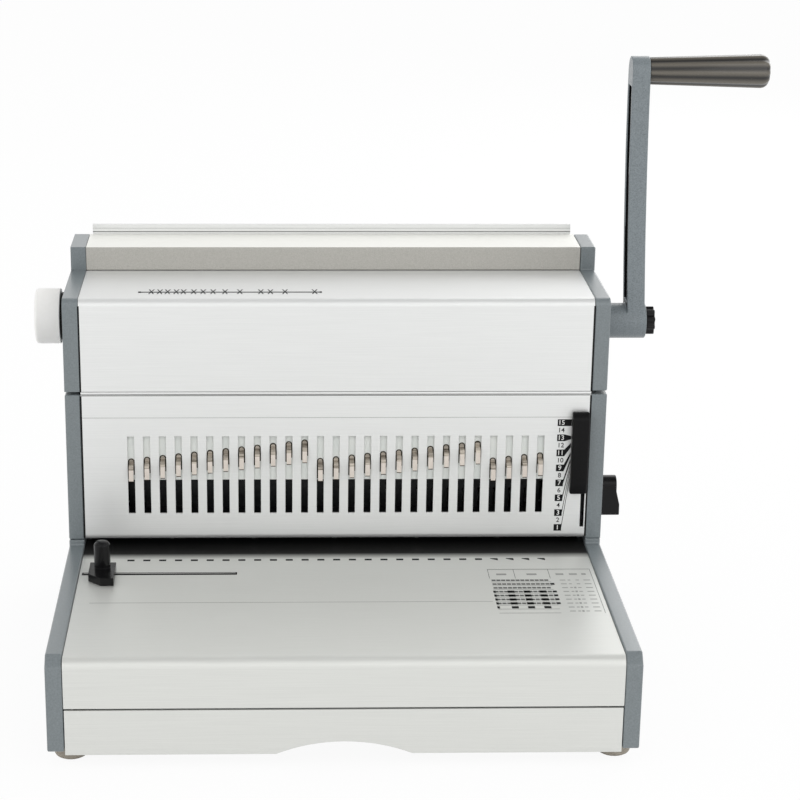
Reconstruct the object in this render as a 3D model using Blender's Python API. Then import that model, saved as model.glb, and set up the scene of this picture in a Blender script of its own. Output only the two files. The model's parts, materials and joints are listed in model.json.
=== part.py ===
"""Comb binding machine: lever-driven punch with a comb opener on its front face.

Metres, +Z up, front towards -Y. The origin is under the middle of the whole machine, on the table.
"""

import math

import bmesh
import bpy
from mathutils import Matrix, Vector

MM = 0.001

# Clearances
FIT = 0.3 * MM
RUNNING = 0.4 * MM
FREE = 1.0 * MM

# Base
END_LENGTH = 51.1 * MM
SIDE_THICK = 14 * MM
FOOT_HEIGHT = 12.7 * MM
FOOT_RADIUS = 13 * MM
FOOT_INSET = 24 * MM
FOOT_SHOULDER = 4.4 * MM
TRAY_TOP = 95 * MM
TRAY_SHEET = 2 * MM
TRAY_ROLL = 9 * MM
APRON_HEIGHT = 43.5 * MM
SIDE_LIP = 1.5 * MM
SIDE_CHAMFER = 9 * MM
PAN_SHEET = 2 * MM
PAN_SETBACK = 28 * MM

# Chip drawer
DRAWER_BOTTOM = 10 * MM
DRAWER_SHEET = 3 * MM
DRAWER_SEAM = 1.5 * MM
ARCH_HALF_WIDTH = 56 * MM
ARCH_RISE = 11 * MM
BIN_CLEARANCE = 18 * MM
BIN_WALL = 2 * MM
BIN_FRONT = 26 * MM
BIN_HEIGHT = 30 * MM

# Body
BODY_FRONT = 262 * MM
BODY_DEPTH = 165 * MM
THROAT = 7 * MM
LOWER_HEIGHT = 138 * MM
SPLIT = 3 * MM
UPPER_HEIGHT = 85 * MM
BAR_DEPTH = 55 * MM
BAR_HEIGHT = 22 * MM
PANEL_SHEET = 2 * MM
LOWER_ROLL = 5 * MM
UPPER_ROLL = 7 * MM
LIP_DEPTH = 20 * MM
STRIP_HEIGHT = 9.5 * MM
STRIP_HANG = 20 * MM
STRIP_THICK = 2.5 * MM
STRIP_INSET = 17 * MM
SCREW_PITCH = 75 * MM
SCREW_COUNT = 5
SCREW_HEAD_RADIUS = 3 * MM
SCREW_HEAD_HEIGHT = 1.8 * MM
SCREW_RADIUS = 1.5 * MM
SCREW_LENGTH = 9 * MM

# Slots and comb opener
SLOT_COUNT = 27
SLOT_PITCH = 14.2875 * MM
SLOT_WIDTH = 6.3 * MM
SLOT_LIFT = 25.5 * MM
SLOT_HEIGHT = 73.5 * MM
OPENER_SETBACK = 10 * MM
OPENER_SHEET = 2 * MM
OPENER_LIFT = 31 * MM
OPENER_HEIGHT = 73.5 * MM
OPENER_CLEARANCE = 16 * MM
OPENER_STROKE = 29 * MM
HOOK_GROUPS = (12, 11, 4)
HOOK_LIFT = 17.8 * MM
HOOK_STEP = 1.61 * MM
HOOK_WIDTH = 4.2 * MM
HOOK_SHEET = 2 * MM
HOOK_DROP = 2 * MM
HOOK_PROUD = 5 * MM
HOOK_TINE = 15 * MM
WINDOW_HEIGHT = 9 * MM
HOOK_RAIL_THICK = 2.7 * MM
HOOK_RAIL_HEIGHT = 12 * MM
RAIL_GRIP = 4 * MM
RAIL_WALL = 2.7 * MM
RAIL_INSET = 9.5 * MM

# Opener slider
SLIDER_INSET = 17 * MM
SLIDER_WIDTH = 15.5 * MM
SLIDER_LIFT = 19 * MM
SLIDER_HEIGHT = 78 * MM
SLIDER_DEPTH = 9.5 * MM
SLIDER_TAPER = 12 * MM
NECK_INSET = 4 * MM
NECK_WIDTH = 2.8 * MM
NECK_DROP = 3.5 * MM
NECK_HEIGHT = 75.5 * MM
STEM_INSET = 33 * MM
STEM_SHEET = 3.4 * MM

# Punch
PUNCH_SETBACK = 34 * MM
PUNCH_WIDTH = 8 * MM
PUNCH_THICK = 3 * MM
GUIDE_DEPTH = 24 * MM
GUIDE_HEIGHT = 17.7 * MM
GUIDE_LIFT = 2.3 * MM
DIE_HEIGHT = 10 * MM
DIE_DEPTH = 60 * MM
RAM_THICK = 12 * MM
RAM_HEIGHT = 60 * MM
RAM_CLEARANCE = 40 * MM
EAR_LENGTH = 24 * MM
EAR_HEIGHT = 20 * MM
PUNCH_HEAD = 8 * MM
PUNCH_TIP_LIFT = 1.2 * MM
ROD_RADIUS = 5 * MM
TIE_HEIGHT = 8 * MM
TIE_LIFT = 40 * MM
TIE_DEPTH = 28 * MM
SPRING_RADIUS = 7.4 * MM
SPRING_WIRE = 0.9 * MM
SPRING_TURNS = 7

# Drive
FRAME_SHEET = 4 * MM
FRAME_SETBACK = 24 * MM
FRAME_REAR = 15 * MM
SHAFT_SETBACK = 50 * MM
SHAFT_DROP = 32.5 * MM
SHAFT_RADIUS = 7 * MM
BUSH_WALL = 4 * MM
BUSH_LENGTH = 9 * MM
GEAR_MODULE = 2 * MM
PINION_TEETH = 12
PINION_WIDTH = 14 * MM
PINION_INSET = 80 * MM
RACK_WIDTH = 12 * MM
RACK_TEETH_BELOW = 2
HANDLE_TURN = math.radians(85)

# Gear teeth, in modules
ADDENDUM = 0.7
DEDENDUM = 1.1
RACK_TIP_HALF = 0.35
RACK_ROOT_HALF = 0.85
PINION_ROOT_WIDTH = 1.65
PINION_PITCH_WIDTH = 1.25
PINION_TIP_WIDTH = 0.55

# Lever
BOSS_RADIUS = 16 * MM
BOSS_GAP = 1.5 * MM
BOSS_LENGTH = 37 * MM
ARM_FOOT_OFFSET = 21 * MM
ARM_TOP_OFFSET = 15 * MM
ARM_BOW = 1 * MM
ARM_THICK = 16 * MM
ARM_DEPTH = 26 * MM
ARM_LENGTH = 227 * MM
POCKET_RIM = 4 * MM
POCKET_DEPTH = 6 * MM
GRIP_LENGTH = 106 * MM
GRIP_END = 7.5 * MM
GRIP_END_SHARE = 0.55
GRIP_RADIUS_NEAR = 12 * MM
GRIP_RADIUS_FAR = 15 * MM
GRIP_FLUTES = 10
GRIP_FLUTE_DEPTH = 1.2 * MM
STAR_RADIUS = 13 * MM
STAR_LENGTH = 8 * MM
STAR_LOBES = 9
STAR_DEPTH = 2.8 * MM

# Margin stop
MARGIN_SETBACK = 64 * MM
MARGIN_LIFT = 30.2 * MM
MARGIN_SHAFT_RADIUS = 4 * MM
MARGIN_ARM = 12 * MM
MARGIN_PIN_RADIUS = 2 * MM
MARGIN_INSET = 40 * MM
STOP_SETBACK = 40 * MM
STOP_HEIGHT = 5 * MM
STOP_DEPTH = 32 * MM
STOP_EAR_DEPTH = 18 * MM
STOP_EAR_THICK = 4 * MM
STOP_INSET = 30 * MM
MARGIN_KNOB_LENGTH = 24 * MM
MARGIN_KNOB_NECK = 21 * MM
MARGIN_SEAT = 9.5 * MM
MARGIN_KNOB_TOP_RADIUS = 9 * MM
MARGIN_KNOB_HEIGHT = 39 * MM
MARGIN_KNOB_FOOT = 22 * MM

# Size knob
SIZE_SETBACK = 95 * MM
SIZE_DROP = 39.5 * MM
SIZE_KNOB_RADIUS = 25.5 * MM
SIZE_KNOB_LENGTH = 25 * MM
SIZE_KNOB_GAP = 3 * MM
SIZE_KNOB_EDGE = 3 * MM
SIZE_SHAFT_RADIUS = 6 * MM
CAM_LOW = 9 * MM
CAM_HIGH = 16 * MM
CAM_WIDTH = 6 * MM

# Edge guide on the tray
GUIDE_SLOT_SETBACK = 69 * MM
GUIDE_SLOT_INSET = 4 * MM
GUIDE_SLOT_LENGTH = 135 * MM
GUIDE_SLOT_WIDTH = 3.6 * MM
SHOE_INSET = 21 * MM
SHOE_WIDTH = 23 * MM
SHOE_DEPTH = 40 * MM
SHOE_HEIGHT = 7 * MM
SHOE_REAR = 10 * MM
POST_RADIUS = 7.2 * MM
POST_HEIGHT = 22 * MM
POST_EDGE = 1.44 * MM
NUT_SIDE = 14 * MM
NUT_HEIGHT = 3 * MM

# Places worked out from the sizes above
HALF = SLOT_COUNT * SLOT_PITCH / 2 + END_LENGTH
INNER = HALF - SIDE_THICK
BIN_HALF_WIDTH = INNER - BIN_CLEARANCE
OPENER_HALF_WIDTH = INNER - OPENER_CLEARANCE
RAM_HALF_WIDTH = INNER - RAM_CLEARANCE
ROD_X = RAM_HALF_WIDTH + EAR_LENGTH / 2
SLIDER_LEFT = INNER - SLIDER_INSET
NECK_X = INNER - NECK_INSET
STEM_LEFT = INNER - STEM_INSET
PINION_X = INNER - PINION_INSET
MARGIN_X = INNER - MARGIN_INSET
STOP_HALF_WIDTH = INNER - STOP_INSET
GUIDE_SLOT_LEFT = INNER - GUIDE_SLOT_INSET
SHOE_X = INNER - SHOE_INSET
LEDGE_DEPTH = BODY_DEPTH - BAR_DEPTH
FRAME_DEPTH = BODY_DEPTH - FRAME_SETBACK - FRAME_REAR
LEFT_REACH = HALF + SIZE_KNOB_GAP + SIZE_KNOB_LENGTH
RIGHT_REACH = HALF + ARM_TOP_OFFSET + ARM_THICK + FIT + GRIP_LENGTH
CENTRE_X = (LEFT_REACH - RIGHT_REACH) / 2
FRONT_Y = -(BODY_FRONT + BODY_DEPTH + FIT + STRIP_THICK) / 2
BODY_Y = FRONT_Y + BODY_FRONT
REAR_Y = BODY_Y + BODY_DEPTH
SIDE_BOTTOM = FOOT_HEIGHT + FIT
PAN_TOP = SIDE_BOTTOM + PAN_SHEET
APRON_BOTTOM = TRAY_TOP - APRON_HEIGHT
BODY_BOTTOM = TRAY_TOP + THROAT
LOWER_TOP = BODY_BOTTOM + LOWER_HEIGHT
UPPER_BOTTOM = LOWER_TOP + SPLIT
UPPER_TOP = UPPER_BOTTOM + UPPER_HEIGHT
BAR_TOP = UPPER_TOP + BAR_HEIGHT
SLOT_BOTTOM = BODY_BOTTOM + SLOT_LIFT
SLOT_TOP = SLOT_BOTTOM + SLOT_HEIGHT
OPENER_BOTTOM = SLOT_BOTTOM + OPENER_LIFT
OPENER_TOP = OPENER_BOTTOM + OPENER_HEIGHT
HOOK_FIRST_TOP = OPENER_BOTTOM + HOOK_LIFT
SLIDER_BOTTOM = SLOT_BOTTOM + SLIDER_LIFT
SLIDER_TOP = SLIDER_BOTTOM + SLIDER_HEIGHT
NECK_BOTTOM = SLIDER_BOTTOM - NECK_DROP
NECK_TOP = NECK_BOTTOM + NECK_HEIGHT
SHAFT_Z = UPPER_TOP - SHAFT_DROP
SIZE_Z = UPPER_TOP - SIZE_DROP
MARGIN_Z = BODY_BOTTOM + MARGIN_LIFT
SHEET_HALF = INNER - FIT
FRAME_OUTER = INNER - FIT
FRAME_INNER = FRAME_OUTER - FRAME_SHEET
CROSS_HALF = FRAME_INNER - FIT
FRAME_Y = BODY_Y + FRAME_SETBACK
FRAME_TOP = UPPER_TOP - 3 * PANEL_SHEET
PUNCH_Y = BODY_Y + PUNCH_SETBACK
GUIDE_BOTTOM = BODY_BOTTOM + GUIDE_LIFT
GUIDE_TOP = GUIDE_BOTTOM + GUIDE_HEIGHT
PITCH_RADIUS = GEAR_MODULE * PINION_TEETH / 2
PUNCH_STROKE = PITCH_RADIUS * HANDLE_TURN
PUNCH_HEAD_BOTTOM = GUIDE_TOP + PUNCH_STROKE + FREE
RAM_BOTTOM = PUNCH_HEAD_BOTTOM + PUNCH_HEAD + FIT
RAM_TOP = RAM_BOTTOM + RAM_HEIGHT
TIE_BOTTOM = RAM_TOP + TIE_LIFT
SHAFT_Y = BODY_Y + SHAFT_SETBACK
PITCH_LINE_Y = SHAFT_Y - PITCH_RADIUS
MARGIN_Y = BODY_Y + MARGIN_SETBACK
STOP_Y = BODY_Y + STOP_SETBACK
SIZE_Y = BODY_Y + SIZE_SETBACK
PLATE_Y = BODY_Y + OPENER_SETBACK
PLATE_REAR_Y = PLATE_Y + OPENER_SHEET
GUIDE_SLOT_Y = BODY_Y - GUIDE_SLOT_SETBACK
HANDLE_X = CENTRE_X + HALF


def clear_scene():
    for old in list(bpy.data.objects):
        bpy.data.objects.remove(old, do_unlink=True)


def finish_colour(name, colour, roughness, metallic=0.0):
    """One Principled material for a finish, with its colour as linear values."""
    found = bpy.data.materials.get(name)
    if found:
        return found
    material = bpy.data.materials.new(name)
    material.use_nodes = True
    shader = material.node_tree.nodes["Principled BSDF"]
    shader.inputs["Base Color"].default_value = (*colour, 1)
    shader.inputs["Roughness"].default_value = roughness
    shader.inputs["Metallic"].default_value = metallic
    return material


def aluminium():
    return finish_colour("satin_aluminium", (0.62, 0.62, 0.60), 0.35, 1.0)


def grey_paint():
    return finish_colour("grey_paint", (0.17, 0.20, 0.22), 0.55)


def steel():
    return finish_colour("machined_steel", (0.52, 0.52, 0.53), 0.3, 1.0)


def bronze():
    return finish_colour("sintered_bronze", (0.45, 0.28, 0.13), 0.45, 1.0)


def pale_plate():
    return finish_colour("pale_plated_steel", (0.62, 0.65, 0.58), 0.4, 0.6)


def black_plastic():
    return finish_colour("black_plastic", (0.012, 0.012, 0.013), 0.45)


def white_plastic():
    return finish_colour("white_plastic", (0.78, 0.77, 0.74), 0.4)


def grip_plastic():
    return finish_colour("dark_grip_plastic", (0.05, 0.047, 0.043), 0.5)


def foot_rubber():
    return finish_colour("grey_rubber", (0.42, 0.39, 0.34), 0.8)


def galvanised():
    return finish_colour("galvanised_sheet", (0.45, 0.47, 0.48), 0.5, 1.0)


def add_object(name, shape, material, smooth_angle=None):
    """Makes a named object from a bmesh, with outward normals."""
    bmesh.ops.recalc_face_normals(shape, faces=shape.faces[:])
    mesh = bpy.data.meshes.new(name)
    shape.to_mesh(mesh)
    shape.free()
    if smooth_angle:
        mesh.shade_smooth()
        mesh.set_sharp_from_angle(angle=math.radians(smooth_angle))
    obj = bpy.data.objects.new(name, mesh)
    if material:
        mesh.materials.append(material)
    bpy.context.scene.collection.objects.link(obj)
    return obj


def point_on(axis, along, across):
    """A 3-D point from a place along an axis and a 2-D point across it."""
    u, v = across
    if axis == "X":
        return Vector((along, u, v))
    if axis == "Y":
        return Vector((u, along, v))
    return Vector((u, v, along))


def arc(centre, radius, start, end, steps):
    """Points on an arc, angles in degrees."""
    angles = [math.radians(start + (end - start) * i / steps) for i in range(steps + 1)]
    return [(centre[0] + radius * math.cos(a), centre[1] + radius * math.sin(a)) for a in angles]


def circle(centre, radius, sides):
    return arc(centre, radius, 0, 360, sides)[:-1]


def add_prism(shape, axis, outline, low, high):
    """Adds a closed prism to a bmesh: the outline lies across the axis, from low to high."""
    bottom = [shape.verts.new(point_on(axis, low, p)) for p in outline]
    top = [shape.verts.new(point_on(axis, high, p)) for p in outline]
    shape.faces.new(bottom[::-1])
    shape.faces.new(top)
    for i in range(len(outline)):
        j = (i + 1) % len(outline)
        shape.faces.new((bottom[i], bottom[j], top[j], top[i]))


def prism(name, axis, outline, low, high, material, smooth_angle=None):
    shape = bmesh.new()
    add_prism(shape, axis, outline, low, high)
    return add_object(name, shape, material, smooth_angle)


def prisms(name, axis, outlines, low, high, material=None):
    """Several prisms of one length in one object, as a cutter or a set to be joined."""
    shape = bmesh.new()
    for outline in outlines:
        add_prism(shape, axis, outline, low, high)
    return add_object(name, shape, material)


def rectangle(low_u, low_v, high_u, high_v):
    return [(low_u, low_v), (high_u, low_v), (high_u, high_v), (low_u, high_v)]


def box(name, low, high, material):
    outline = rectangle(low[0], low[1], high[0], high[1])
    return prism(name, "Z", outline, low[2], high[2], material)


def cylinder(name, axis, centre, radius, low, high, material, sides=32):
    return prism(name, axis, circle(centre, radius, sides), low, high, material, 40)


def turned(name, axis, centre, profile, material, sides=32):
    """A body turned about an axis. The profile is a closed loop of (radius, along) points."""
    shape = bmesh.new()
    rings = []
    for i in range(sides):
        angle = 2 * math.pi * i / sides
        ring = []
        for radius, along in profile:
            across = (centre[0] + radius * math.cos(angle), centre[1] + radius * math.sin(angle))
            ring.append(shape.verts.new(point_on(axis, along, across)))
        rings.append(ring)
    for i in range(sides):
        near, far = rings[i], rings[(i + 1) % sides]
        for j in range(len(profile)):
            k = (j + 1) % len(profile)
            shape.faces.new((near[j], far[j], far[k], near[k]))
    bmesh.ops.remove_doubles(shape, verts=shape.verts[:], dist=1e-6)
    bmesh.ops.dissolve_degenerate(shape, edges=shape.edges[:], dist=1e-7)
    return add_object(name, shape, material, 40)


def boolean(target, tool, operation):
    """Cuts the tool from the target or joins it on. The tool itself stays out of the model."""
    tool.hide_render = True
    tool.display_type = "WIRE"
    modifier = target.modifiers.new(tool.name, "BOOLEAN")
    modifier.operation = operation
    modifier.solver = "EXACT"
    modifier.object = tool
    return target


def cut(target, tool):
    return boolean(target, tool, "DIFFERENCE")


def keep(target, tool):
    return boolean(target, tool, "INTERSECT")


def join(target, tool):
    return boolean(target, tool, "UNION")


def bend(path, thickness):
    """The outline of a bent sheet: its outer path and the same path moved inwards, to its left."""
    inner = []
    for i, (u, v) in enumerate(path):
        before = Vector(path[max(i - 1, 0)])
        after = Vector(path[min(i + 1, len(path) - 1)])
        run = (after - before).normalized()
        inner.append((u - run.y * thickness, v + run.x * thickness))
    return list(path) + inner[::-1]


def on_joint(name, place, pieces):
    """Hangs the pieces of a moving body on an empty at its joint, keeping them where they are."""
    pivot = bpy.data.objects.new(name, None)
    pivot.location = place
    bpy.context.scene.collection.objects.link(pivot)
    for piece in pieces:
        piece.parent = pivot
        piece.matrix_parent_inverse = Matrix.Translation(-Vector(place))


def sides():
    """Left and right, with the sign of the side."""
    return (("left", -1), ("right", 1))


def span(sign, near, far):
    """A stretch of X on one side of the body, in rising order."""
    ends = sorted((CENTRE_X + sign * near, CENTRE_X + sign * far))
    return ends[0], ends[1]


def slot_x(index):
    return CENTRE_X + (index - (SLOT_COUNT - 1) / 2) * SLOT_PITCH


def make_base():
    """Side panels, bottom pan, tray plate and feet."""
    step_y = BODY_Y
    side_top = TRAY_TOP + SIDE_LIP
    outline = [
        (FRONT_Y, SIDE_BOTTOM),
        (REAR_Y, SIDE_BOTTOM),
        (REAR_Y, BODY_BOTTOM - FIT),
        (step_y, BODY_BOTTOM - FIT),
        (step_y, side_top),
        (FRONT_Y + SIDE_CHAMFER, side_top),
        (FRONT_Y, side_top - SIDE_CHAMFER),
    ]
    for side, sign in sides():
        low, high = span(sign, INNER, HALF)
        prism(f"base_side_{side}", "X", outline, low, high, grey_paint())

    rear_inner = REAR_Y - PAN_SHEET
    pan = [
        (FRONT_Y + PAN_SETBACK, SIDE_BOTTOM),
        (REAR_Y, SIDE_BOTTOM),
        (REAR_Y, BODY_BOTTOM - FREE),
        (rear_inner, BODY_BOTTOM - FREE),
        (rear_inner, PAN_TOP),
        (FRONT_Y + PAN_SETBACK, PAN_TOP),
    ]
    low, high = CENTRE_X - SHEET_HALF, CENTRE_X + SHEET_HALF
    prism("base_pan", "X", pan, low, high, galvanised())

    roll = arc((FRONT_Y + TRAY_ROLL, TRAY_TOP - TRAY_ROLL), TRAY_ROLL, 90, 180, 8)
    path = [(BODY_Y + LIP_DEPTH, TRAY_TOP)] + roll + [(FRONT_Y, APRON_BOTTOM)]
    tray = prism("tray_plate", "X", bend(path, TRAY_SHEET), low, high, aluminium(), 30)
    half_slot = GUIDE_SLOT_WIDTH / 2
    slot = box(
        "guide_slot_cutter",
        (CENTRE_X - GUIDE_SLOT_LEFT, GUIDE_SLOT_Y - half_slot, TRAY_TOP - 3 * TRAY_SHEET),
        (CENTRE_X - GUIDE_SLOT_LEFT + GUIDE_SLOT_LENGTH, GUIDE_SLOT_Y + half_slot, TRAY_TOP + TRAY_SHEET),
        None,
    )
    cut(tray, slot)

    shoulder = FOOT_SHOULDER
    crown = [(FOOT_RADIUS - shoulder + u, shoulder + v) for u, v in arc((0, 0), shoulder, 270, 360, 4)]
    profile = [(0, 0)] + crown + [(FOOT_RADIUS, FOOT_HEIGHT), (0, FOOT_HEIGHT)]
    for side, sign in sides():
        for end, y in (("front", FRONT_Y + FOOT_INSET), ("rear", REAR_Y - FOOT_INSET)):
            x = CENTRE_X + sign * (INNER - SIDE_THICK / 2)
            turned(f"foot_{end}_{side}", "Z", (x, y), profile, foot_rubber(), 24)


def make_drawer():
    """Chip drawer: front with a finger arch, and the open bin behind it."""
    half = SHEET_HALF - FIT
    top = APRON_BOTTOM - DRAWER_SEAM
    radius = (ARCH_HALF_WIDTH**2 + ARCH_RISE**2) / (2 * ARCH_RISE)
    spread = math.degrees(math.asin(ARCH_HALF_WIDTH / radius))
    centre = (CENTRE_X, DRAWER_BOTTOM + ARCH_RISE - radius)
    arch = arc(centre, radius, 90 + spread, 90 - spread, 16)
    outline = [(CENTRE_X - half, DRAWER_BOTTOM)] + arch + [
        (CENTRE_X + half, DRAWER_BOTTOM),
        (CENTRE_X + half, top),
        (CENTRE_X - half, top),
    ]
    front = prism("drawer_front", "Y", outline, FRONT_Y, FRONT_Y + DRAWER_SHEET, aluminium())

    floor = PAN_TOP + FIT
    rear = PUNCH_Y + BIN_FRONT
    bin_front = FRONT_Y + BIN_FRONT
    rim = floor + BIN_HEIGHT
    low, high = CENTRE_X - BIN_HALF_WIDTH, CENTRE_X + BIN_HALF_WIDTH
    chip_bin = box("chip_bin", (low, bin_front, floor), (high, rear, rim), galvanised())
    hollow = box(
        "bin_hollow_cutter",
        (low + BIN_WALL, bin_front + BIN_WALL, floor + BIN_WALL),
        (high - BIN_WALL, rear - BIN_WALL, rim + BIN_WALL),
        None,
    )
    cut(chip_bin, hollow)
    arms = prisms(
        "bin_arms",
        "Z",
        [
            rectangle(x, FRONT_Y + DRAWER_SHEET + FIT, x + BIN_WALL, bin_front + BIN_WALL)
            for x in (low, high - BIN_WALL)
        ],
        floor,
        rim,
    )
    join(chip_bin, arms)
    on_joint("drawer_pivot", (CENTRE_X, FRONT_Y, floor), [front, chip_bin])


def cap_outlines():
    """Side views of the lower and upper end caps."""
    lower = [
        (BODY_Y, BODY_BOTTOM),
        (REAR_Y, BODY_BOTTOM),
        (REAR_Y, LOWER_TOP),
        (BODY_Y, LOWER_TOP),
    ]
    crown = arc((BODY_Y + UPPER_ROLL, UPPER_TOP - UPPER_ROLL), UPPER_ROLL, 90, 180, 6)
    upper = [
        (BODY_Y, UPPER_BOTTOM),
        (REAR_Y, UPPER_BOTTOM),
        (REAR_Y, BAR_TOP),
        (BODY_Y + LEDGE_DEPTH, BAR_TOP),
        (BODY_Y + LEDGE_DEPTH, UPPER_TOP),
    ] + crown
    return lower, upper


def make_body():
    """End caps, front panels, top bar, rear cover and rear strip."""
    lower, upper = cap_outlines()
    holes = {
        "left": ((SIZE_Y, SIZE_Z), SIZE_SHAFT_RADIUS),
        "right": ((SHAFT_Y, SHAFT_Z), SHAFT_RADIUS),
    }
    for side, sign in sides():
        low, high = span(sign, INNER, HALF)
        lower_cap = prism(f"lower_cap_{side}", "X", lower, low, high, grey_paint())
        upper_cap = prism(f"upper_cap_{side}", "X", upper, low, high, grey_paint(), 20)
        centre, radius = holes[side]
        through = (low - FREE, high + FREE)
        cut(upper_cap, cylinder(f"cap_hole_{side}", "X", centre, radius + FREE, *through, None))
        if side == "right":
            hole = cylinder(
                "margin_hole", "X", (MARGIN_Y, MARGIN_Z), MARGIN_SHAFT_RADIUS + FREE, *through, None
            )
            cut(lower_cap, hole)

    low, high = CENTRE_X - SHEET_HALF, CENTRE_X + SHEET_HALF
    roll = arc((BODY_Y + LOWER_ROLL, BODY_BOTTOM + LOWER_ROLL), LOWER_ROLL, 180, 270, 6)
    path = [(BODY_Y, LOWER_TOP)] + roll + [(BODY_Y + LIP_DEPTH, BODY_BOTTOM)]
    panel = prism("front_panel_lower", "X", bend(path, PANEL_SHEET), low, high, aluminium(), 30)
    half = SLOT_WIDTH / 2
    slots = [
        rectangle(slot_x(i) - half, SLOT_BOTTOM, slot_x(i) + half, SLOT_TOP) for i in range(SLOT_COUNT)
    ]
    neck = NECK_WIDTH / 2 + RUNNING
    neck_low = NECK_BOTTOM - OPENER_STROKE - FREE
    slots.append(rectangle(CENTRE_X + NECK_X - neck, neck_low, CENTRE_X + NECK_X + neck, NECK_TOP + FREE))
    cut(panel, prisms("slot_cutter", "Y", slots, BODY_Y - FREE, BODY_Y + PANEL_SHEET + FREE))
    holes = [circle((screw_x(i), screw_y()), SCREW_RADIUS + RUNNING, 12) for i in range(SCREW_COUNT)]
    cut(panel, prisms("lip_hole_cutter", "Z", holes, BODY_BOTTOM - FREE, BODY_BOTTOM + PANEL_SHEET + FREE))

    roll = arc((BODY_Y + UPPER_ROLL, UPPER_TOP - UPPER_ROLL), UPPER_ROLL, 90, 180, 8)
    path = [(BODY_Y + LEDGE_DEPTH - FIT, UPPER_TOP)] + roll + [(BODY_Y, UPPER_BOTTOM)]
    prism("front_panel_upper", "X", bend(path, PANEL_SHEET), low, high, aluminium(), 30)

    bar_front = BODY_Y + LEDGE_DEPTH
    path = [
        (REAR_Y, UPPER_TOP - 2 * PANEL_SHEET),
        (REAR_Y, BAR_TOP),
        (bar_front, BAR_TOP),
        (bar_front, UPPER_TOP + FIT),
        (bar_front + PANEL_SHEET, UPPER_TOP + FIT),
        (bar_front + PANEL_SHEET, BAR_TOP - PANEL_SHEET),
        (REAR_Y - PANEL_SHEET, BAR_TOP - PANEL_SHEET),
        (REAR_Y - PANEL_SHEET, UPPER_TOP - 2 * PANEL_SHEET),
    ]
    prism("top_bar", "X", path, low, high, aluminium())
    box(
        "rear_cover",
        (low, REAR_Y - PANEL_SHEET, BODY_BOTTOM),
        (high, REAR_Y, UPPER_TOP - 2 * PANEL_SHEET - FIT),
        aluminium(),
    )
    box(
        "rear_strip",
        (CENTRE_X - HALF + STRIP_INSET, REAR_Y + FIT, BAR_TOP - STRIP_HANG),
        (CENTRE_X + HALF - STRIP_INSET, REAR_Y + FIT + STRIP_THICK, BAR_TOP + STRIP_HEIGHT),
        aluminium(),
    )


def screw_x(index):
    return CENTRE_X + (index - (SCREW_COUNT - 1) / 2) * SCREW_PITCH


def screw_y():
    return BODY_Y + LIP_DEPTH / 2


def make_lip_screws():
    """Screws that go up through the panel's lower lip into the punch guide."""
    head_top = BODY_BOTTOM - FIT
    head_bottom = head_top - SCREW_HEAD_HEIGHT
    for i in range(SCREW_COUNT):
        profile = [
            (0, head_bottom),
            (SCREW_HEAD_RADIUS, head_bottom),
            (SCREW_HEAD_RADIUS, head_top),
            (SCREW_RADIUS, head_top),
            (SCREW_RADIUS, head_top + SCREW_LENGTH),
            (0, head_top + SCREW_LENGTH),
        ]
        turned(f"lip_screw_{i + 1}", "Z", (screw_x(i), screw_y()), profile, steel(), 12)


def make_frame():
    """The two frame plates, their bushes, the tie and the ram's guide rods."""
    holes = [
        ("shaft", (SHAFT_Y, SHAFT_Z), SHAFT_RADIUS + RUNNING + BUSH_WALL + FIT),
        ("margin", (MARGIN_Y, MARGIN_Z), MARGIN_SHAFT_RADIUS + RUNNING),
        ("size", (SIZE_Y, SIZE_Z), SIZE_SHAFT_RADIUS + RUNNING),
    ]
    outline = rectangle(FRAME_Y, PAN_TOP + FIT, FRAME_Y + FRAME_DEPTH, FRAME_TOP)
    bore = SHAFT_RADIUS + RUNNING
    for side, sign in sides():
        low, high = span(sign, FRAME_INNER, FRAME_OUTER)
        plate = prism(f"frame_plate_{side}", "X", outline, low, high, steel())
        for what, centre, radius in holes:
            if what != "size" or side == "left":
                tool = cylinder(f"{what}_bore_{side}", "X", centre, radius, low - FREE, high + FREE, None)
                cut(plate, tool)
        inner, outer = span(sign, FRAME_OUTER - BUSH_LENGTH, FRAME_OUTER)
        ring = [
            (bore, inner),
            (bore + BUSH_WALL, inner),
            (bore + BUSH_WALL, outer),
            (bore, outer),
        ]
        turned(f"shaft_bush_{side}", "X", (SHAFT_Y, SHAFT_Z), ring, bronze())

    tie_front = FRAME_Y + FIT
    tie = box(
        "top_tie",
        (CENTRE_X - CROSS_HALF, tie_front, TIE_BOTTOM),
        (CENTRE_X + CROSS_HALF, tie_front + TIE_DEPTH, TIE_BOTTOM + TIE_HEIGHT),
        steel(),
    )
    gap = RACK_WIDTH / 2 + FREE
    windows = [
        rectangle(
            CENTRE_X + sign * PINION_X - gap,
            PUNCH_Y - RAM_THICK / 2 - FREE,
            CENTRE_X + sign * PINION_X + gap,
            PITCH_LINE_Y + GEAR_MODULE + FREE,
        )
        for _, sign in sides()
    ]
    cut(tie, prisms("rack_window", "Z", windows, TIE_BOTTOM - FREE, TIE_BOTTOM + TIE_HEIGHT + FREE))
    for side, sign in sides():
        centre = (CENTRE_X + sign * ROD_X, PUNCH_Y)
        cylinder(f"guide_rod_{side}", "Z", centre, ROD_RADIUS, GUIDE_TOP + FIT, TIE_BOTTOM - FIT, steel(), 20)


def punch_outlines(clearance):
    """The 27 punch sections seen from above."""
    u = PUNCH_WIDTH / 2 + clearance
    v = PUNCH_THICK / 2 + clearance
    return [rectangle(slot_x(i) - u, PUNCH_Y - v, slot_x(i) + u, PUNCH_Y + v) for i in range(SLOT_COUNT)]


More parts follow.
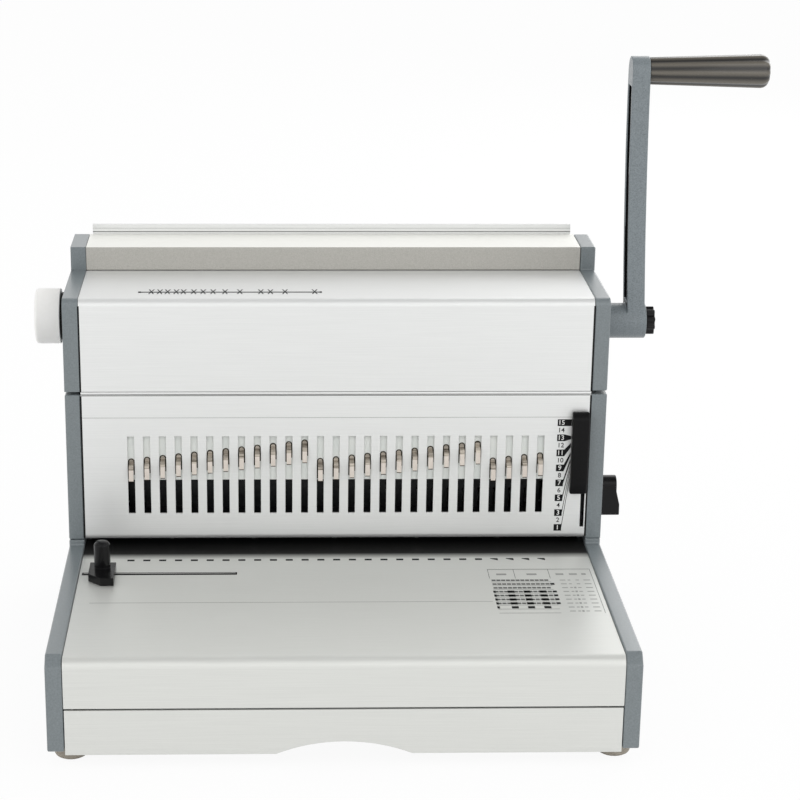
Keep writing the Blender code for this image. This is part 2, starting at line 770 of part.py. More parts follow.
def make_punch():
    """Die plate, punch guide, ram with its punches and racks, and the return springs."""
    die_front = BODY_Y + LIP_DEPTH + FIT
    die_bottom = TRAY_TOP - DIE_HEIGHT
    die = box(
        "die_plate",
        (CENTRE_X - CROSS_HALF, die_front, die_bottom),
        (CENTRE_X + CROSS_HALF, die_front + DIE_DEPTH, TRAY_TOP - FIT),
        steel(),
    )
    cut(die, prisms("die_cutter", "Z", punch_outlines(RUNNING), die_bottom - FREE, TRAY_TOP + FREE))

    guide_rear = PUNCH_Y + GUIDE_DEPTH / 2
    guide = box(
        "punch_guide",
        (CENTRE_X - CROSS_HALF, BODY_Y + LOWER_ROLL + FREE, GUIDE_BOTTOM),
        (CENTRE_X + CROSS_HALF, guide_rear, GUIDE_TOP),
        steel(),
    )
    cut(guide, prisms("guide_cutter", "Z", punch_outlines(RUNNING), GUIDE_BOTTOM - FREE, GUIDE_TOP + FREE))
    taps = [circle((screw_x(i), screw_y()), SCREW_RADIUS + FIT, 12) for i in range(SCREW_COUNT)]
    cut(guide, prisms("tap_cutter", "Z", taps, GUIDE_BOTTOM - FREE, BODY_BOTTOM + SCREW_LENGTH))

    half = RAM_THICK / 2
    ear = RAM_HALF_WIDTH + EAR_LENGTH
    outline = [
        (CENTRE_X - RAM_HALF_WIDTH, RAM_BOTTOM),
        (CENTRE_X + RAM_HALF_WIDTH, RAM_BOTTOM),
        (CENTRE_X + RAM_HALF_WIDTH, RAM_TOP - EAR_HEIGHT),
        (CENTRE_X + ear, RAM_TOP - EAR_HEIGHT),
        (CENTRE_X + ear, RAM_TOP),
        (CENTRE_X - ear, RAM_TOP),
        (CENTRE_X - ear, RAM_TOP - EAR_HEIGHT),
        (CENTRE_X - RAM_HALF_WIDTH, RAM_TOP - EAR_HEIGHT),
    ]
    ram = prism("punch_ram", "Y", outline, PUNCH_Y - half, PUNCH_Y + half, steel())
    bores = [circle((CENTRE_X + sign * ROD_X, PUNCH_Y), ROD_RADIUS + RUNNING, 20) for _, sign in sides()]
    cut(ram, prisms("rod_bore", "Z", bores, RAM_TOP - EAR_HEIGHT - FREE, RAM_TOP + FREE))

    punches = box(
        "punch_comb",
        (CENTRE_X - RAM_HALF_WIDTH, PUNCH_Y - PUNCH_THICK, PUNCH_HEAD_BOTTOM),
        (CENTRE_X + RAM_HALF_WIDTH, PUNCH_Y + PUNCH_THICK, PUNCH_HEAD_BOTTOM + PUNCH_HEAD),
        steel(),
    )
    tips = GUIDE_BOTTOM + PUNCH_TIP_LIFT
    join(punches, prisms("punch_pins", "Z", punch_outlines(0), tips, PUNCH_HEAD_BOTTOM + PUNCH_HEAD / 2))

    racks = [make_rack(side, sign) for side, sign in sides()]
    on_joint("punch_pivot", (CENTRE_X, PUNCH_Y, RAM_BOTTOM), [ram, punches, *racks])
    for side, sign in sides():
        make_spring(f"return_spring_{side}", CENTRE_X + sign * ROD_X)


def make_rack(side, sign):
    """A toothed bar that stands on the ram, its teeth towards the shaft."""
    pitch = math.pi * GEAR_MODULE
    tip_y = PITCH_LINE_Y + ADDENDUM * GEAR_MODULE
    root_y = PITCH_LINE_Y - DEDENDUM * GEAR_MODULE
    tip_half = RACK_TIP_HALF * GEAR_MODULE
    root_half = RACK_ROOT_HALF * GEAR_MODULE
    foot = RAM_TOP + FIT
    above = math.ceil((PUNCH_STROKE + GEAR_MODULE) / pitch)
    top = SHAFT_Z + (above + 0.5) * pitch
    back = PUNCH_Y - RAM_THICK / 2
    outline = [(back, top), (back, foot), (root_y, foot)]
    for i in range(-RACK_TEETH_BELOW, above + 1):
        z = SHAFT_Z + i * pitch
        outline += [
            (root_y, z - root_half),
            (tip_y, z - tip_half),
            (tip_y, z + tip_half),
            (root_y, z + root_half),
        ]
    outline.append((root_y, top))
    x = CENTRE_X + sign * PINION_X
    return prism(f"rack_{side}", "X", outline, x - RACK_WIDTH / 2, x + RACK_WIDTH / 2, steel())


def make_spring(name, x):
    """A compression spring round a guide rod, between the punch guide and the ram's ear."""
    low = GUIDE_TOP + FIT + SPRING_WIRE
    high = RAM_TOP - EAR_HEIGHT - FIT - SPRING_WIRE
    per_turn = 9
    count = SPRING_TURNS * per_turn
    points = []
    for i in range(count + 1):
        angle = 2 * math.pi * i / per_turn
        z = low + (high - low) * i / count
        points.append((x + SPRING_RADIUS * math.cos(angle), PUNCH_Y + SPRING_RADIUS * math.sin(angle), z))
    curve = bpy.data.curves.new(name, "CURVE")
    curve.dimensions = "3D"
    curve.bevel_depth = SPRING_WIRE
    curve.bevel_resolution = 1
    curve.use_fill_caps = True
    spline = curve.splines.new("POLY")
    spline.points.add(count)
    for point, place in zip(spline.points, points):
        point.co = (*place, 1)
    curve.materials.append(steel())
    bpy.context.scene.collection.objects.link(bpy.data.objects.new(name, curve))


def make_pinion(side, sign):
    """A pinion on the main shaft, with a gap between two teeth facing its rack at rest."""
    root = PITCH_RADIUS - DEDENDUM * GEAR_MODULE
    tip = PITCH_RADIUS + ADDENDUM * GEAR_MODULE
    widths = ((root, PINION_ROOT_WIDTH), (PITCH_RADIUS, PINION_PITCH_WIDTH), (tip, PINION_TIP_WIDTH))
    step = 2 * math.pi / PINION_TEETH
    outline = []
    for i in range(PINION_TEETH):
        middle = math.pi + (i + 0.5) * step
        for mark, order in ((-1, widths), (1, widths[::-1])):
            for radius, width in order:
                angle = middle + mark * math.asin(width * GEAR_MODULE / 2 / radius)
                outline.append((SHAFT_Y + radius * math.cos(angle), SHAFT_Z + radius * math.sin(angle)))
    x = CENTRE_X + sign * PINION_X
    low, high = x - PINION_WIDTH / 2, x + PINION_WIDTH / 2
    pinion = prism(f"pinion_{side}", "X", outline, low, high, steel())
    centre = (SHAFT_Y, SHAFT_Z)
    return cut(
        pinion,
        cylinder(f"pinion_bore_{side}", "X", centre, SHAFT_RADIUS + FIT, low - FREE, high + FREE, None),
    )


def fluted_circle(centre, radius, flutes, depth, per_flute):
    """A circle with rounded hollows round it."""
    count = flutes * per_flute
    points = []
    for i in range(count):
        angle = 2 * math.pi * i / count
        r = radius - depth * (0.5 - 0.5 * math.cos(flutes * angle))
        points.append((centre[0] + r * math.cos(angle), centre[1] + r * math.sin(angle)))
    return points


def make_lever():
    """Main shaft with its pinions, and the lever: arm with boss, grip and star knob."""
    axis = (SHAFT_Y, SHAFT_Z)
    boss_left = HANDLE_X + BOSS_GAP
    boss_right = boss_left + BOSS_LENGTH
    shaft_left = CENTRE_X - FRAME_OUTER + FIT
    shaft = cylinder("main_shaft", "X", axis, SHAFT_RADIUS, shaft_left, boss_right, steel())
    pinions = [make_pinion(side, sign) for side, sign in sides()]

    arm = make_arm(boss_left, boss_right)
    grip_left = HANDLE_X + ARM_TOP_OFFSET + ARM_THICK + FIT
    grip = make_grip(grip_left, (SHAFT_Y, SHAFT_Z + ARM_LENGTH))
    star_outline = fluted_circle(axis, STAR_RADIUS, STAR_LOBES, STAR_DEPTH, 6)
    star_left = boss_right + FIT
    star = prism("star_knob", "X", star_outline, star_left, star_left + STAR_LENGTH, black_plastic(), 40)
    on_joint("handle_pivot", (HANDLE_X, *axis), [shaft, *pinions, arm, grip, star])


def arm_edge(height):
    """X of the arm's left face at a height above the shaft: it leans in, with a slight bow."""
    straight = ARM_LENGTH - GRIP_RADIUS_FAR - FREE
    share = min(height / straight, 1)
    lean = (ARM_TOP_OFFSET - ARM_FOOT_OFFSET) * share
    return HANDLE_X + ARM_FOOT_OFFSET + lean - 4 * ARM_BOW * share * (1 - share)


def arm_side(low, high, offset=0):
    """The arm's left face between two heights, as points of X and Z."""
    steps = 14
    heights = [low + (high - low) * i / steps for i in range(steps + 1)]
    return [(arm_edge(height) + offset, SHAFT_Z + height) for height in heights]


def make_arm(boss_left, boss_right):
    """The cast arm with its round top, the boss at its foot and the hollow in its left face."""
    axis = (SHAFT_Y, SHAFT_Z)
    half = ARM_DEPTH / 2
    top = ARM_LENGTH + half
    front, rear = SHAFT_Y - half, SHAFT_Y + half
    outline = arm_side(0, top) + arm_side(0, top, ARM_THICK)[::-1]
    arm = prism("handle_arm", "Y", outline, front, rear, grey_paint(), 30)
    crown = arc((SHAFT_Y, SHAFT_Z + ARM_LENGTH), half, 0, 180, 10)
    shape = [(front - FREE, SHAFT_Z - FREE), (rear + FREE, SHAFT_Z - FREE)]
    shape += [(rear + FREE, SHAFT_Z + ARM_LENGTH)] + crown + [(front - FREE, SHAFT_Z + ARM_LENGTH)]
    keep(arm, prisms("arm_shape", "X", [shape], boss_left, boss_right + FREE))
    join(arm, cylinder("boss", "X", axis, BOSS_RADIUS, boss_left, boss_right, None))

    pocket_low = BOSS_RADIUS + POCKET_RIM
    pocket_high = ARM_LENGTH - half
    inner = arm_side(pocket_low, pocket_high, POCKET_DEPTH)
    outer = [(boss_left, SHAFT_Z + pocket_high), (boss_left, SHAFT_Z + pocket_low)]
    cut(arm, prisms("arm_pocket", "Y", [inner + outer], front + POCKET_RIM, rear - POCKET_RIM))
    bore = (boss_left - FREE, boss_right + FREE)
    return cut(arm, cylinder("boss_bore", "X", axis, SHAFT_RADIUS + FIT, *bore, None))


def make_grip(left, centre):
    """The tapered, fluted grip with its rounded far end."""
    far = GRIP_RADIUS_FAR
    straight = GRIP_LENGTH - GRIP_END
    fall = far * (1 - GRIP_END_SHARE)
    stations = [(0, GRIP_RADIUS_NEAR)]
    for along, inward in arc((0, 0), 1, 90, 0, 4):
        stations.append((straight + GRIP_END * along, far - fall * (1 - inward)))
    shape = bmesh.new()
    rings = []
    for along, radius in stations:
        points = fluted_circle(centre, radius, GRIP_FLUTES, GRIP_FLUTE_DEPTH * radius / far, 6)
        rings.append([shape.verts.new(point_on("X", left + along, p)) for p in points])
    shape.faces.new(rings[0][::-1])
    shape.faces.new(rings[-1])
    for near, end in zip(rings, rings[1:]):
        for i in range(len(near)):
            j = (i + 1) % len(near)
            shape.faces.new((near[i], near[j], end[j], end[i]))
    return add_object("handle_grip", shape, grip_plastic(), 50)


def hook_top(index):
    """Height of a hook's window: it rises along each group and starts again at the next."""
    first = 0
    for count in HOOK_GROUPS:
        if index < first + count:
            return HOOK_FIRST_TOP + (index - first) * HOOK_STEP
        first += count
    return HOOK_FIRST_TOP


def hook_outline(index):
    """Side view of one hook: out through the plate, over and down in front of the panel."""
    top = hook_top(index) - HOOK_DROP
    front = BODY_Y - HOOK_PROUD
    root = PLATE_REAR_Y + FIT + HOOK_RAIL_THICK / 2
    round_over = 2 * HOOK_SHEET
    outer = arc((front + round_over, top - round_over), round_over, 90, 180, 4)
    inner = arc((front + round_over, top - round_over), round_over - HOOK_SHEET, 180, 90, 4)
    foot = top - HOOK_TINE
    return (
        [(root, top)]
        + outer
        + [(front, foot), (front + HOOK_SHEET, foot)]
        + inner
        + [(root, top - HOOK_SHEET)]
    )


def make_hook_strip(name, first, count):
    """A rail behind the opener plate that carries one group of hooks."""
    margin = SLOT_WIDTH
    low_z = hook_top(first) - HOOK_RAIL_HEIGHT
    high_z = hook_top(first + count - 1) - HOOK_RAIL_HEIGHT
    left = slot_x(first) - margin
    right = slot_x(first + count - 1) + margin
    outline = [
        (left, low_z),
        (right, high_z),
        (right, high_z + HOOK_RAIL_HEIGHT + HOOK_DROP),
        (left, low_z + HOOK_RAIL_HEIGHT + HOOK_DROP),
    ]
    rail_front = PLATE_REAR_Y + FIT
    strip = prism(name, "Y", outline, rail_front, rail_front + HOOK_RAIL_THICK, steel())
    hooks = bmesh.new()
    for i in range(first, first + count):
        x = slot_x(i)
        add_prism(hooks, "X", hook_outline(i), x - HOOK_WIDTH / 2, x + HOOK_WIDTH / 2)
    return join(strip, add_object(f"{name}_hooks", hooks, None))


def make_opener():
    """Comb opener: windowed plate, three hook strips, stem, slider cap and the plate's rails."""
    plate = box(
        "opener_plate",
        (CENTRE_X - OPENER_HALF_WIDTH, PLATE_Y, OPENER_BOTTOM),
        (CENTRE_X + OPENER_HALF_WIDTH, PLATE_REAR_Y, OPENER_TOP),
        pale_plate(),
    )
    half = SLOT_WIDTH / 2
    windows = []
    for i in range(SLOT_COUNT):
        x = slot_x(i)
        top = hook_top(i)
        crown = arc((x, top - half), half, 0, 180, 4)
        windows.append([(x - half, top - WINDOW_HEIGHT), (x + half, top - WINDOW_HEIGHT)] + crown)
    cut(plate, prisms("window_cutter", "Y", windows, PLATE_Y - FREE, PLATE_REAR_Y + FREE))

    strips = []
    first = 0
    for letter, count in zip("abc", HOOK_GROUPS):
        strips.append(make_hook_strip(f"hook_strip_{letter}", first, count))
        first += count

    neck = NECK_WIDTH / 2
    rail_front = PLATE_Y - FIT - RAIL_WALL
    foot_right = CENTRE_X + OPENER_HALF_WIDTH - RAIL_GRIP - FREE
    stem_rear = rail_front - FIT
    stem_front = stem_rear - STEM_SHEET
    neck_front = BODY_Y - FREE
    neck_left, neck_right = CENTRE_X + NECK_X - neck, CENTRE_X + NECK_X + neck
    outline = [
        (CENTRE_X + STEM_LEFT, stem_front),
        (neck_left, stem_front),
        (neck_left, neck_front),
        (neck_right, neck_front),
        (neck_right, stem_rear),
        (foot_right, stem_rear),
        (foot_right, PLATE_Y - FIT),
        (CENTRE_X + STEM_LEFT, PLATE_Y - FIT),
    ]
    stem = prism("slider_stem", "Z", outline, NECK_BOTTOM + OPENER_STROKE, NECK_TOP, steel())
    cap = make_slider_cap(neck_front - FIT)
    on_joint("opener_pivot", (CENTRE_X, PLATE_Y, OPENER_TOP), [plate, *strips, stem, cap])

    rail_bottom = GUIDE_TOP + FIT
    rail_top = OPENER_TOP + FREE
    edge = OPENER_HALF_WIDTH - RAIL_GRIP
    for side, sign in sides():
        outline = [
            (edge, rail_front),
            (FRAME_OUTER - RAIL_INSET, rail_front),
            (FRAME_OUTER - RAIL_INSET, PLATE_REAR_Y + RUNNING),
            (FRAME_OUTER, PLATE_REAR_Y + RUNNING),
            (FRAME_OUTER, FRAME_Y - FIT),
            (edge, FRAME_Y - FIT),
            (edge, PLATE_REAR_Y + RUNNING),
            (OPENER_HALF_WIDTH + FREE, PLATE_REAR_Y + RUNNING),
            (OPENER_HALF_WIDTH + FREE, PLATE_Y - RUNNING),
            (edge, PLATE_Y - RUNNING),
        ]
        placed = [(CENTRE_X + sign * u, v) for u, v in outline]
        prism(f"opener_rail_{side}", "Z", placed, rail_bottom, rail_top, galvanised())


def make_slider_cap(rear):
    """The black slider: bevelled at the top, with a long tapering facet at the bottom."""
    front = rear - SLIDER_DEPTH
    bevel = SLIDER_DEPTH / 2
    outline = [
        (rear, SLIDER_BOTTOM),
        (rear, SLIDER_TOP),
        (front + bevel, SLIDER_TOP),
        (front, SLIDER_TOP - bevel),
        (front, SLIDER_BOTTOM + SLIDER_TAPER),
        (front + bevel, SLIDER_BOTTOM),
    ]
    low = CENTRE_X + SLIDER_LEFT
    return prism("slider_cap", "X", outline, low, low + SLIDER_WIDTH, black_plastic())


def make_margin_stop():
    """Depth stop for the paper's edge, moved by cranks on the setting shaft."""
    floor = TRAY_TOP
    top = floor + STOP_HEIGHT
    rear = STOP_Y + STOP_DEPTH
    half = STOP_HALF_WIDTH
    stop = box("margin_stop", (CENTRE_X - half, STOP_Y, floor), (CENTRE_X + half, rear, top), steel())
    ear_top = MARGIN_Z - MARGIN_ARM + 3 * MARGIN_PIN_RADIUS
    mouth = MARGIN_PIN_RADIUS + RUNNING
    deep = MARGIN_Z - MARGIN_ARM - 2 * MARGIN_PIN_RADIUS
    fork = [
        (rear - STOP_EAR_DEPTH, floor + FREE),
        (rear, floor + FREE),
        (rear, ear_top),
        (MARGIN_Y + mouth, ear_top),
        (MARGIN_Y + mouth, deep),
        (MARGIN_Y - mouth, deep),
        (MARGIN_Y - mouth, ear_top),
        (rear - STOP_EAR_DEPTH, ear_top),
    ]
    ears = bmesh.new()
    for _, sign in sides():
        add_prism(ears, "X", fork, *span(sign, MARGIN_X - STOP_EAR_THICK, MARGIN_X))
    join(stop, add_object("stop_ears", ears, None))
    on_joint("margin_stop_pivot", (CENTRE_X, STOP_Y, floor), [stop])

    axis = (MARGIN_Y, MARGIN_Z)
    shaft_right = HANDLE_X + MARGIN_SEAT
    shaft_left = CENTRE_X - FRAME_OUTER + FIT
    shaft = cylinder("margin_shaft", "X", axis, MARGIN_SHAFT_RADIUS, shaft_left, shaft_right, steel(), 20)
    pin_z = MARGIN_Z - MARGIN_ARM
    web = rectangle(
        MARGIN_Y - MARGIN_PIN_RADIUS,
        pin_z - MARGIN_PIN_RADIUS,
        MARGIN_Y + MARGIN_PIN_RADIUS,
        MARGIN_Z,
    )
    cranks = bmesh.new()
    pins = bmesh.new()
    for _, sign in sides():
        near, far = MARGIN_X + FREE, MARGIN_X + FREE + STOP_EAR_THICK
        add_prism(cranks, "X", web, *span(sign, near, far))
        pin = circle((MARGIN_Y, pin_z), MARGIN_PIN_RADIUS - FIT / 2, 12)
        add_prism(pins, "X", pin, *span(sign, MARGIN_X - STOP_EAR_THICK, near + STOP_EAR_THICK / 2))
    join(shaft, add_object("cranks", cranks, None))
    join(shaft, add_object("crank_pins", pins, None))

    foot = MARGIN_KNOB_FOOT / 2
    drop = MARGIN_KNOB_HEIGHT - MARGIN_KNOB_TOP_RADIUS
    crown = arc(axis, MARGIN_KNOB_TOP_RADIUS, 0, 180, 10)
    outline = crown + [(MARGIN_Y - foot, MARGIN_Z - drop), (MARGIN_Y + foot, MARGIN_Z - drop)]
    low = HANDLE_X + FREE
    high = low + MARGIN_KNOB_LENGTH
    knob = prism("margin_knob", "X", outline, low, high, black_plastic(), 40)
    bottom = MARGIN_Z - drop
    neck = low + MARGIN_KNOB_NECK
    shape = [
        (low - FREE, bottom - FREE),
        (high, bottom - FREE),
        (high, bottom + foot),
        (neck, MARGIN_Z - foot / 2),
        (neck, MARGIN_Z + foot),
        (low - FREE, MARGIN_Z + foot),
    ]
    keep(knob, prisms("margin_knob_shape", "Y", [shape], MARGIN_Y - 2 * foot, MARGIN_Y + 2 * foot))
    bore = cylinder("margin_knob_bore", "X", axis, MARGIN_SHAFT_RADIUS + FIT, low - FREE, shaft_right + FIT, None)
    cut(knob, bore)
    on_joint("margin_pivot", (HANDLE_X, *axis), [shaft, knob])


def make_size_knob():
    """White knob high on the left, its spindle and the snail cam inside."""
    axis = (SIZE_Y, SIZE_Z)
    knob_right = CENTRE_X - HALF - SIZE_KNOB_GAP
    knob_left = knob_right - SIZE_KNOB_LENGTH
    edge = SIZE_KNOB_EDGE
    corner = [(SIZE_KNOB_RADIUS - edge + u, knob_left + edge + v) for u, v in arc((0, 0), edge, 270, 360, 4)]
    seat = (knob_left + knob_right) / 2
    bore = SIZE_SHAFT_RADIUS + FIT
    profile = [(0, knob_left)] + corner + [
        (SIZE_KNOB_RADIUS, knob_right),
        (bore, knob_right),
        (bore, seat),
        (0, seat),
    ]
    knob = turned("size_knob", "X", axis, profile, white_plastic(), 48)

    cam_right = CENTRE_X - FRAME_INNER + FREE + CAM_WIDTH
    shaft = cylinder("size_spindle", "X", axis, SIZE_SHAFT_RADIUS, seat + FIT, cam_right, steel(), 24)
    snail = []
    steps = 24
    for i in range(steps + 1):
        angle = 2 * math.pi * i / steps
        radius = CAM_LOW + (CAM_HIGH - CAM_LOW) * i / steps
        snail.append((SIZE_Y + radius * math.cos(angle), SIZE_Z + radius * math.sin(angle)))
    join(shaft, prisms("snail_cam", "X", [snail], cam_right - CAM_WIDTH, cam_right - FIT))
    on_joint("size_pivot", (CENTRE_X - HALF, *axis), [knob, shaft])


def make_edge_guide():
    """Paper edge guide: moulded shoe with its post, and the clamp nut under the slot."""
    x = CENTRE_X - SHOE_X
    half = SHOE_WIDTH / 2
    floor = TRAY_TOP + FIT
    rear = GUIDE_SLOT_Y + SHOE_REAR
    front = rear - SHOE_DEPTH
    outline = [
        (x - half, front + half),
        (x, front),
        (x + half, front),
        (x + half, rear),
        (x - half, rear),
    ]
    guide = prism("edge_guide", "Z", outline, floor, floor + SHOE_HEIGHT, black_plastic())
    centre = (x, GUIDE_SLOT_Y)
    post_top = floor + SHOE_HEIGHT + POST_HEIGHT
    edge = POST_EDGE
    corner = [(POST_RADIUS - edge + u, post_top - edge + v) for u, v in arc((0, 0), edge, 0, 90, 4)]
    post_low = floor + SHOE_HEIGHT / 2
    profile = [(0, post_low), (POST_RADIUS, post_low)] + corner + [(0, post_top)]
    join(guide, turned("guide_post", "Z", centre, profile, None, 24))
    stem = GUIDE_SLOT_WIDTH / 2 - RUNNING
    stem_top = floor + SHOE_HEIGHT + POST_HEIGHT / 2
    bore = cylinder("stem_bore", "Z", centre, stem + FIT, floor - FREE, stem_top + FIT, None, 16)
    cut(guide, bore)

    side = NUT_SIDE / 2
    nut_top = TRAY_TOP - TRAY_SHEET - FIT
    nut = box(
        "edge_guide_nut",
        (x - side, GUIDE_SLOT_Y - side, nut_top - NUT_HEIGHT),
        (x + side, GUIDE_SLOT_Y + side, nut_top),
        steel(),
    )
    join(nut, cylinder("nut_stem", "Z", centre, stem, nut_top - NUT_HEIGHT / 2, stem_top, None, 16))
    on_joint("guide_pivot", (x, GUIDE_SLOT_Y, TRAY_TOP), [guide, nut])


clear_scene()
make_base()
make_drawer()
make_body()
make_lip_screws()
make_frame()
make_punch()
make_lever()
make_opener()
make_margin_stop()
make_size_knob()
make_edge_guide()
bpy.context.view_layer.update()
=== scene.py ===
import json
import math
import bpy
from mathutils import Matrix, Vector

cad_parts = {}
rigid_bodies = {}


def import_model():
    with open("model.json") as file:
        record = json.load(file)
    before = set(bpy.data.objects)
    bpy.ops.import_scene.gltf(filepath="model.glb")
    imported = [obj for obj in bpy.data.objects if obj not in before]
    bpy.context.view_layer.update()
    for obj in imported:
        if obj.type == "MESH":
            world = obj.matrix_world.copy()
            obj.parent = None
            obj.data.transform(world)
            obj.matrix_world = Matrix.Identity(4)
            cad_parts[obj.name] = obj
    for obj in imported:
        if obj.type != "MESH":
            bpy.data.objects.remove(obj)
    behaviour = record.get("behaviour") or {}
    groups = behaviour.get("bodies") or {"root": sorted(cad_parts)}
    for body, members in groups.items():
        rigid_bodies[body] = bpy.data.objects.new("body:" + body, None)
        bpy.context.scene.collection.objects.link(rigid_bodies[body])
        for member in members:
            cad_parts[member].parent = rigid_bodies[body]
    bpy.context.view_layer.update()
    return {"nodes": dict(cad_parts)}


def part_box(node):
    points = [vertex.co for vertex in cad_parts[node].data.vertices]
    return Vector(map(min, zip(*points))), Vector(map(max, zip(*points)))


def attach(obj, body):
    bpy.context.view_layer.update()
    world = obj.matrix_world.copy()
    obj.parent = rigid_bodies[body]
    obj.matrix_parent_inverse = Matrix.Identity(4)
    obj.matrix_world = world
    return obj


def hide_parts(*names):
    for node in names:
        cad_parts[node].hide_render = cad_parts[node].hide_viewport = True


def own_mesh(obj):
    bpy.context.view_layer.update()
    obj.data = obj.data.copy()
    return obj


bpy.ops.object.select_all(action="SELECT")
bpy.ops.object.delete()
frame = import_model()

# Base sides: two die-cast plates that carry the tray between them.
# Grey wrinkle paint over cast metal, with eased edges all round.
MM = 0.001
NOISE_LOW, NOISE_HIGH, ROUGHNESS_SPREAD = 0.3, 0.7, 0.04
WELD, FLAT_WITHIN = 0.02 * MM, math.radians(1)


def linear(code):
    """The linear RGBA of an sRGB hex colour."""
    parts = [int(code[i:i + 2], 16) / 255 for i in (1, 3, 5)]
    return [p / 12.92 if p <= 0.04045 else ((p + 0.055) / 1.055) ** 2.4 for p in parts] + [1.0]


def add_node(tree, kind, inputs=None, **settings):
    """A shader node with its settings, whose inputs are set or linked."""
    made = tree.nodes.new(kind)
    for name, value in settings.items():
        setattr(made, name, value)
    for name, value in (inputs or {}).items():
        if isinstance(value, bpy.types.NodeSocket):
            tree.links.new(value, made.inputs[name])
        else:
            made.inputs[name].default_value = value
    return made


def surface(name, dark, light, roughness, metallic, grain, relief, shine=0.5):
    """A finish whose colour runs between two tones in a grain of that size (mm along X, Y, Z).

    relief is the depth of the same grain as a bump, in mm.
    """
    made = bpy.data.materials.new(name)
    made.use_nodes = True
    tree = made.node_tree
    shader = tree.nodes["Principled BSDF"]
    place = add_node(tree, "ShaderNodeTexCoord")
    scale = [1 / (size * MM) for size in grain]
    mapped = add_node(tree, "ShaderNodeMapping", {"Vector": place.outputs["Object"], "Scale": scale})
    noise = add_node(tree, "ShaderNodeTexNoise",
                     {"Vector": mapped.outputs["Vector"], "Scale": 1.0, "Detail": 3.0, "Roughness": 0.6})
    tone = add_node(tree, "ShaderNodeMapRange",
                    {"Value": noise.outputs["Fac"], "From Min": NOISE_LOW, "From Max": NOISE_HIGH})
    ramp = add_node(tree, "ShaderNodeValToRGB", {"Fac": tone.outputs["Result"]})
    ramp.color_ramp.elements[0].color = linear(dark)
    ramp.color_ramp.elements[1].color = linear(light)
    tree.links.new(ramp.outputs["Color"], shader.inputs["Base Color"])
    rough = add_node(tree, "ShaderNodeMapRange",
                     {"Value": noise.outputs["Fac"], "From Min": NOISE_LOW, "From Max": NOISE_HIGH,
                      "To Min": roughness - ROUGHNESS_SPREAD, "To Max": roughness + ROUGHNESS_SPREAD})
    tree.links.new(rough.outputs["Result"], shader.inputs["Roughness"])
    if relief:
        bump = add_node(tree, "ShaderNodeBump",
                        {"Height": noise.outputs["Fac"], "Distance": relief * MM, "Strength": 1.0})
        tree.links.new(bump.outputs["Normal"], shader.inputs["Normal"])
    shader.inputs["Metallic"].default_value = metallic
    shader.inputs["Specular IOR Level"].default_value = shine
    return made


def eased(node, width, finish, body="frame", segments=3, angle=30, smooth=32, flat=True):
    """A copy of a CAD node with whole faces and edges rounded by width (mm), which stands for it."""
    bpy.ops.object.select_all(action="DESELECT")
    piece = frame["nodes"][node].copy()
    piece.data = piece.data.copy()
    piece.name = node + "_shown"
    bpy.context.collection.objects.link(piece)
    bpy.context.view_layer.objects.active = piece
    piece.select_set(True)
    bpy.ops.mesh.customdata_custom_splitnormals_clear()
    bpy.ops.object.mode_set(mode="EDIT")
    bpy.ops.mesh.select_all(action="SELECT")
    bpy.ops.mesh.remove_doubles(threshold=WELD)
    bpy.ops.mesh.dissolve_limited(angle_limit=FLAT_WITHIN)
    bpy.ops.object.mode_set(mode="OBJECT")
    if width:
        bevel = piece.modifiers.new("edges", "BEVEL")
        bevel.width = width * MM
        bevel.segments = segments
        bevel.limit_method = "ANGLE"
        bevel.angle_limit = math.radians(angle)
        bevel.harden_normals = False
        bpy.ops.object.modifier_apply(modifier="edges")
    bpy.ops.object.shade_smooth_by_angle(angle=math.radians(smooth))
    if flat:
        normals = piece.modifiers.new("faces", "WEIGHTED_NORMAL")
        normals.keep_sharp = True
        bpy.ops.object.modifier_apply(modifier="faces")
    piece.data.materials.clear()
    piece.data.materials.append(finish)
    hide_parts(node)
    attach(piece, body)
    return piece


# Grey wrinkle enamel, baked on: a fine orange-peel relief with a dull sheen.
grey_paint = surface("grey wrinkle paint", "#6A7275", "#798184", 0.36, 0.0, (1.3, 1.3, 1.3), 0.1)
enamel = grey_paint.node_tree.nodes["Principled BSDF"]
enamel.inputs["Coat Weight"].default_value = 0.55
enamel.inputs["Coat Roughness"].default_value = 0.25
for side in ("left", "right"):
    eased("base_side_" + side, 1.4, grey_paint)

# Feet: four moulded rubber domes screwed under the base pan.
# Beige-grey rubber, shown a little wider and further out than the solids.
FOOT_SHIFT, FOOT_SPREAD = 3 * MM, 1.1
# Moulded rubber: dull beige, slightly dusty, with hardly any highlight.
rubber = surface("beige rubber", "#9A9388", "#ABA498", 0.75, 0.0, (3, 3, 3), 0.01, 0.3)
for foot in ("front_left", "front_right", "rear_left", "rear_right"):
    dome = eased("foot_" + foot, 0.6, rubber, smooth=50)
    low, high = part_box("foot_" + foot)
    centre = (low + high) / 2
    outward = FOOT_SHIFT if "right" in foot else -FOOT_SHIFT
    for point in dome.data.vertices:
        point.co.x = centre.x + outward + (point.co.x - centre.x) * FOOT_SPREAD
        point.co.y = centre.y + (point.co.y - centre.y) * FOOT_SPREAD

# Base pan: a folded sheet that closes the underside and holds the drawer.
# Bare galvanised steel.
# Galvanised sheet: cool grey metal with faint, cloudy patches about 9 mm wide.
galvanised = surface("galvanised steel", "#A3A6A7", "#ABAEAF", 0.45, 0.8, (9, 9, 9), 0.0)
eased("base_pan", 0.4, galvanised, segments=2)

# Tray: one aluminium sheet rolled over at the front into an apron.
# Satin anodised, with a fine grain along its width.
SATIN_DARK, SATIN_LIGHT = "#D6D7D3", "#DDDEDA"
BRUSHED = (60, 0.5, 0.5)
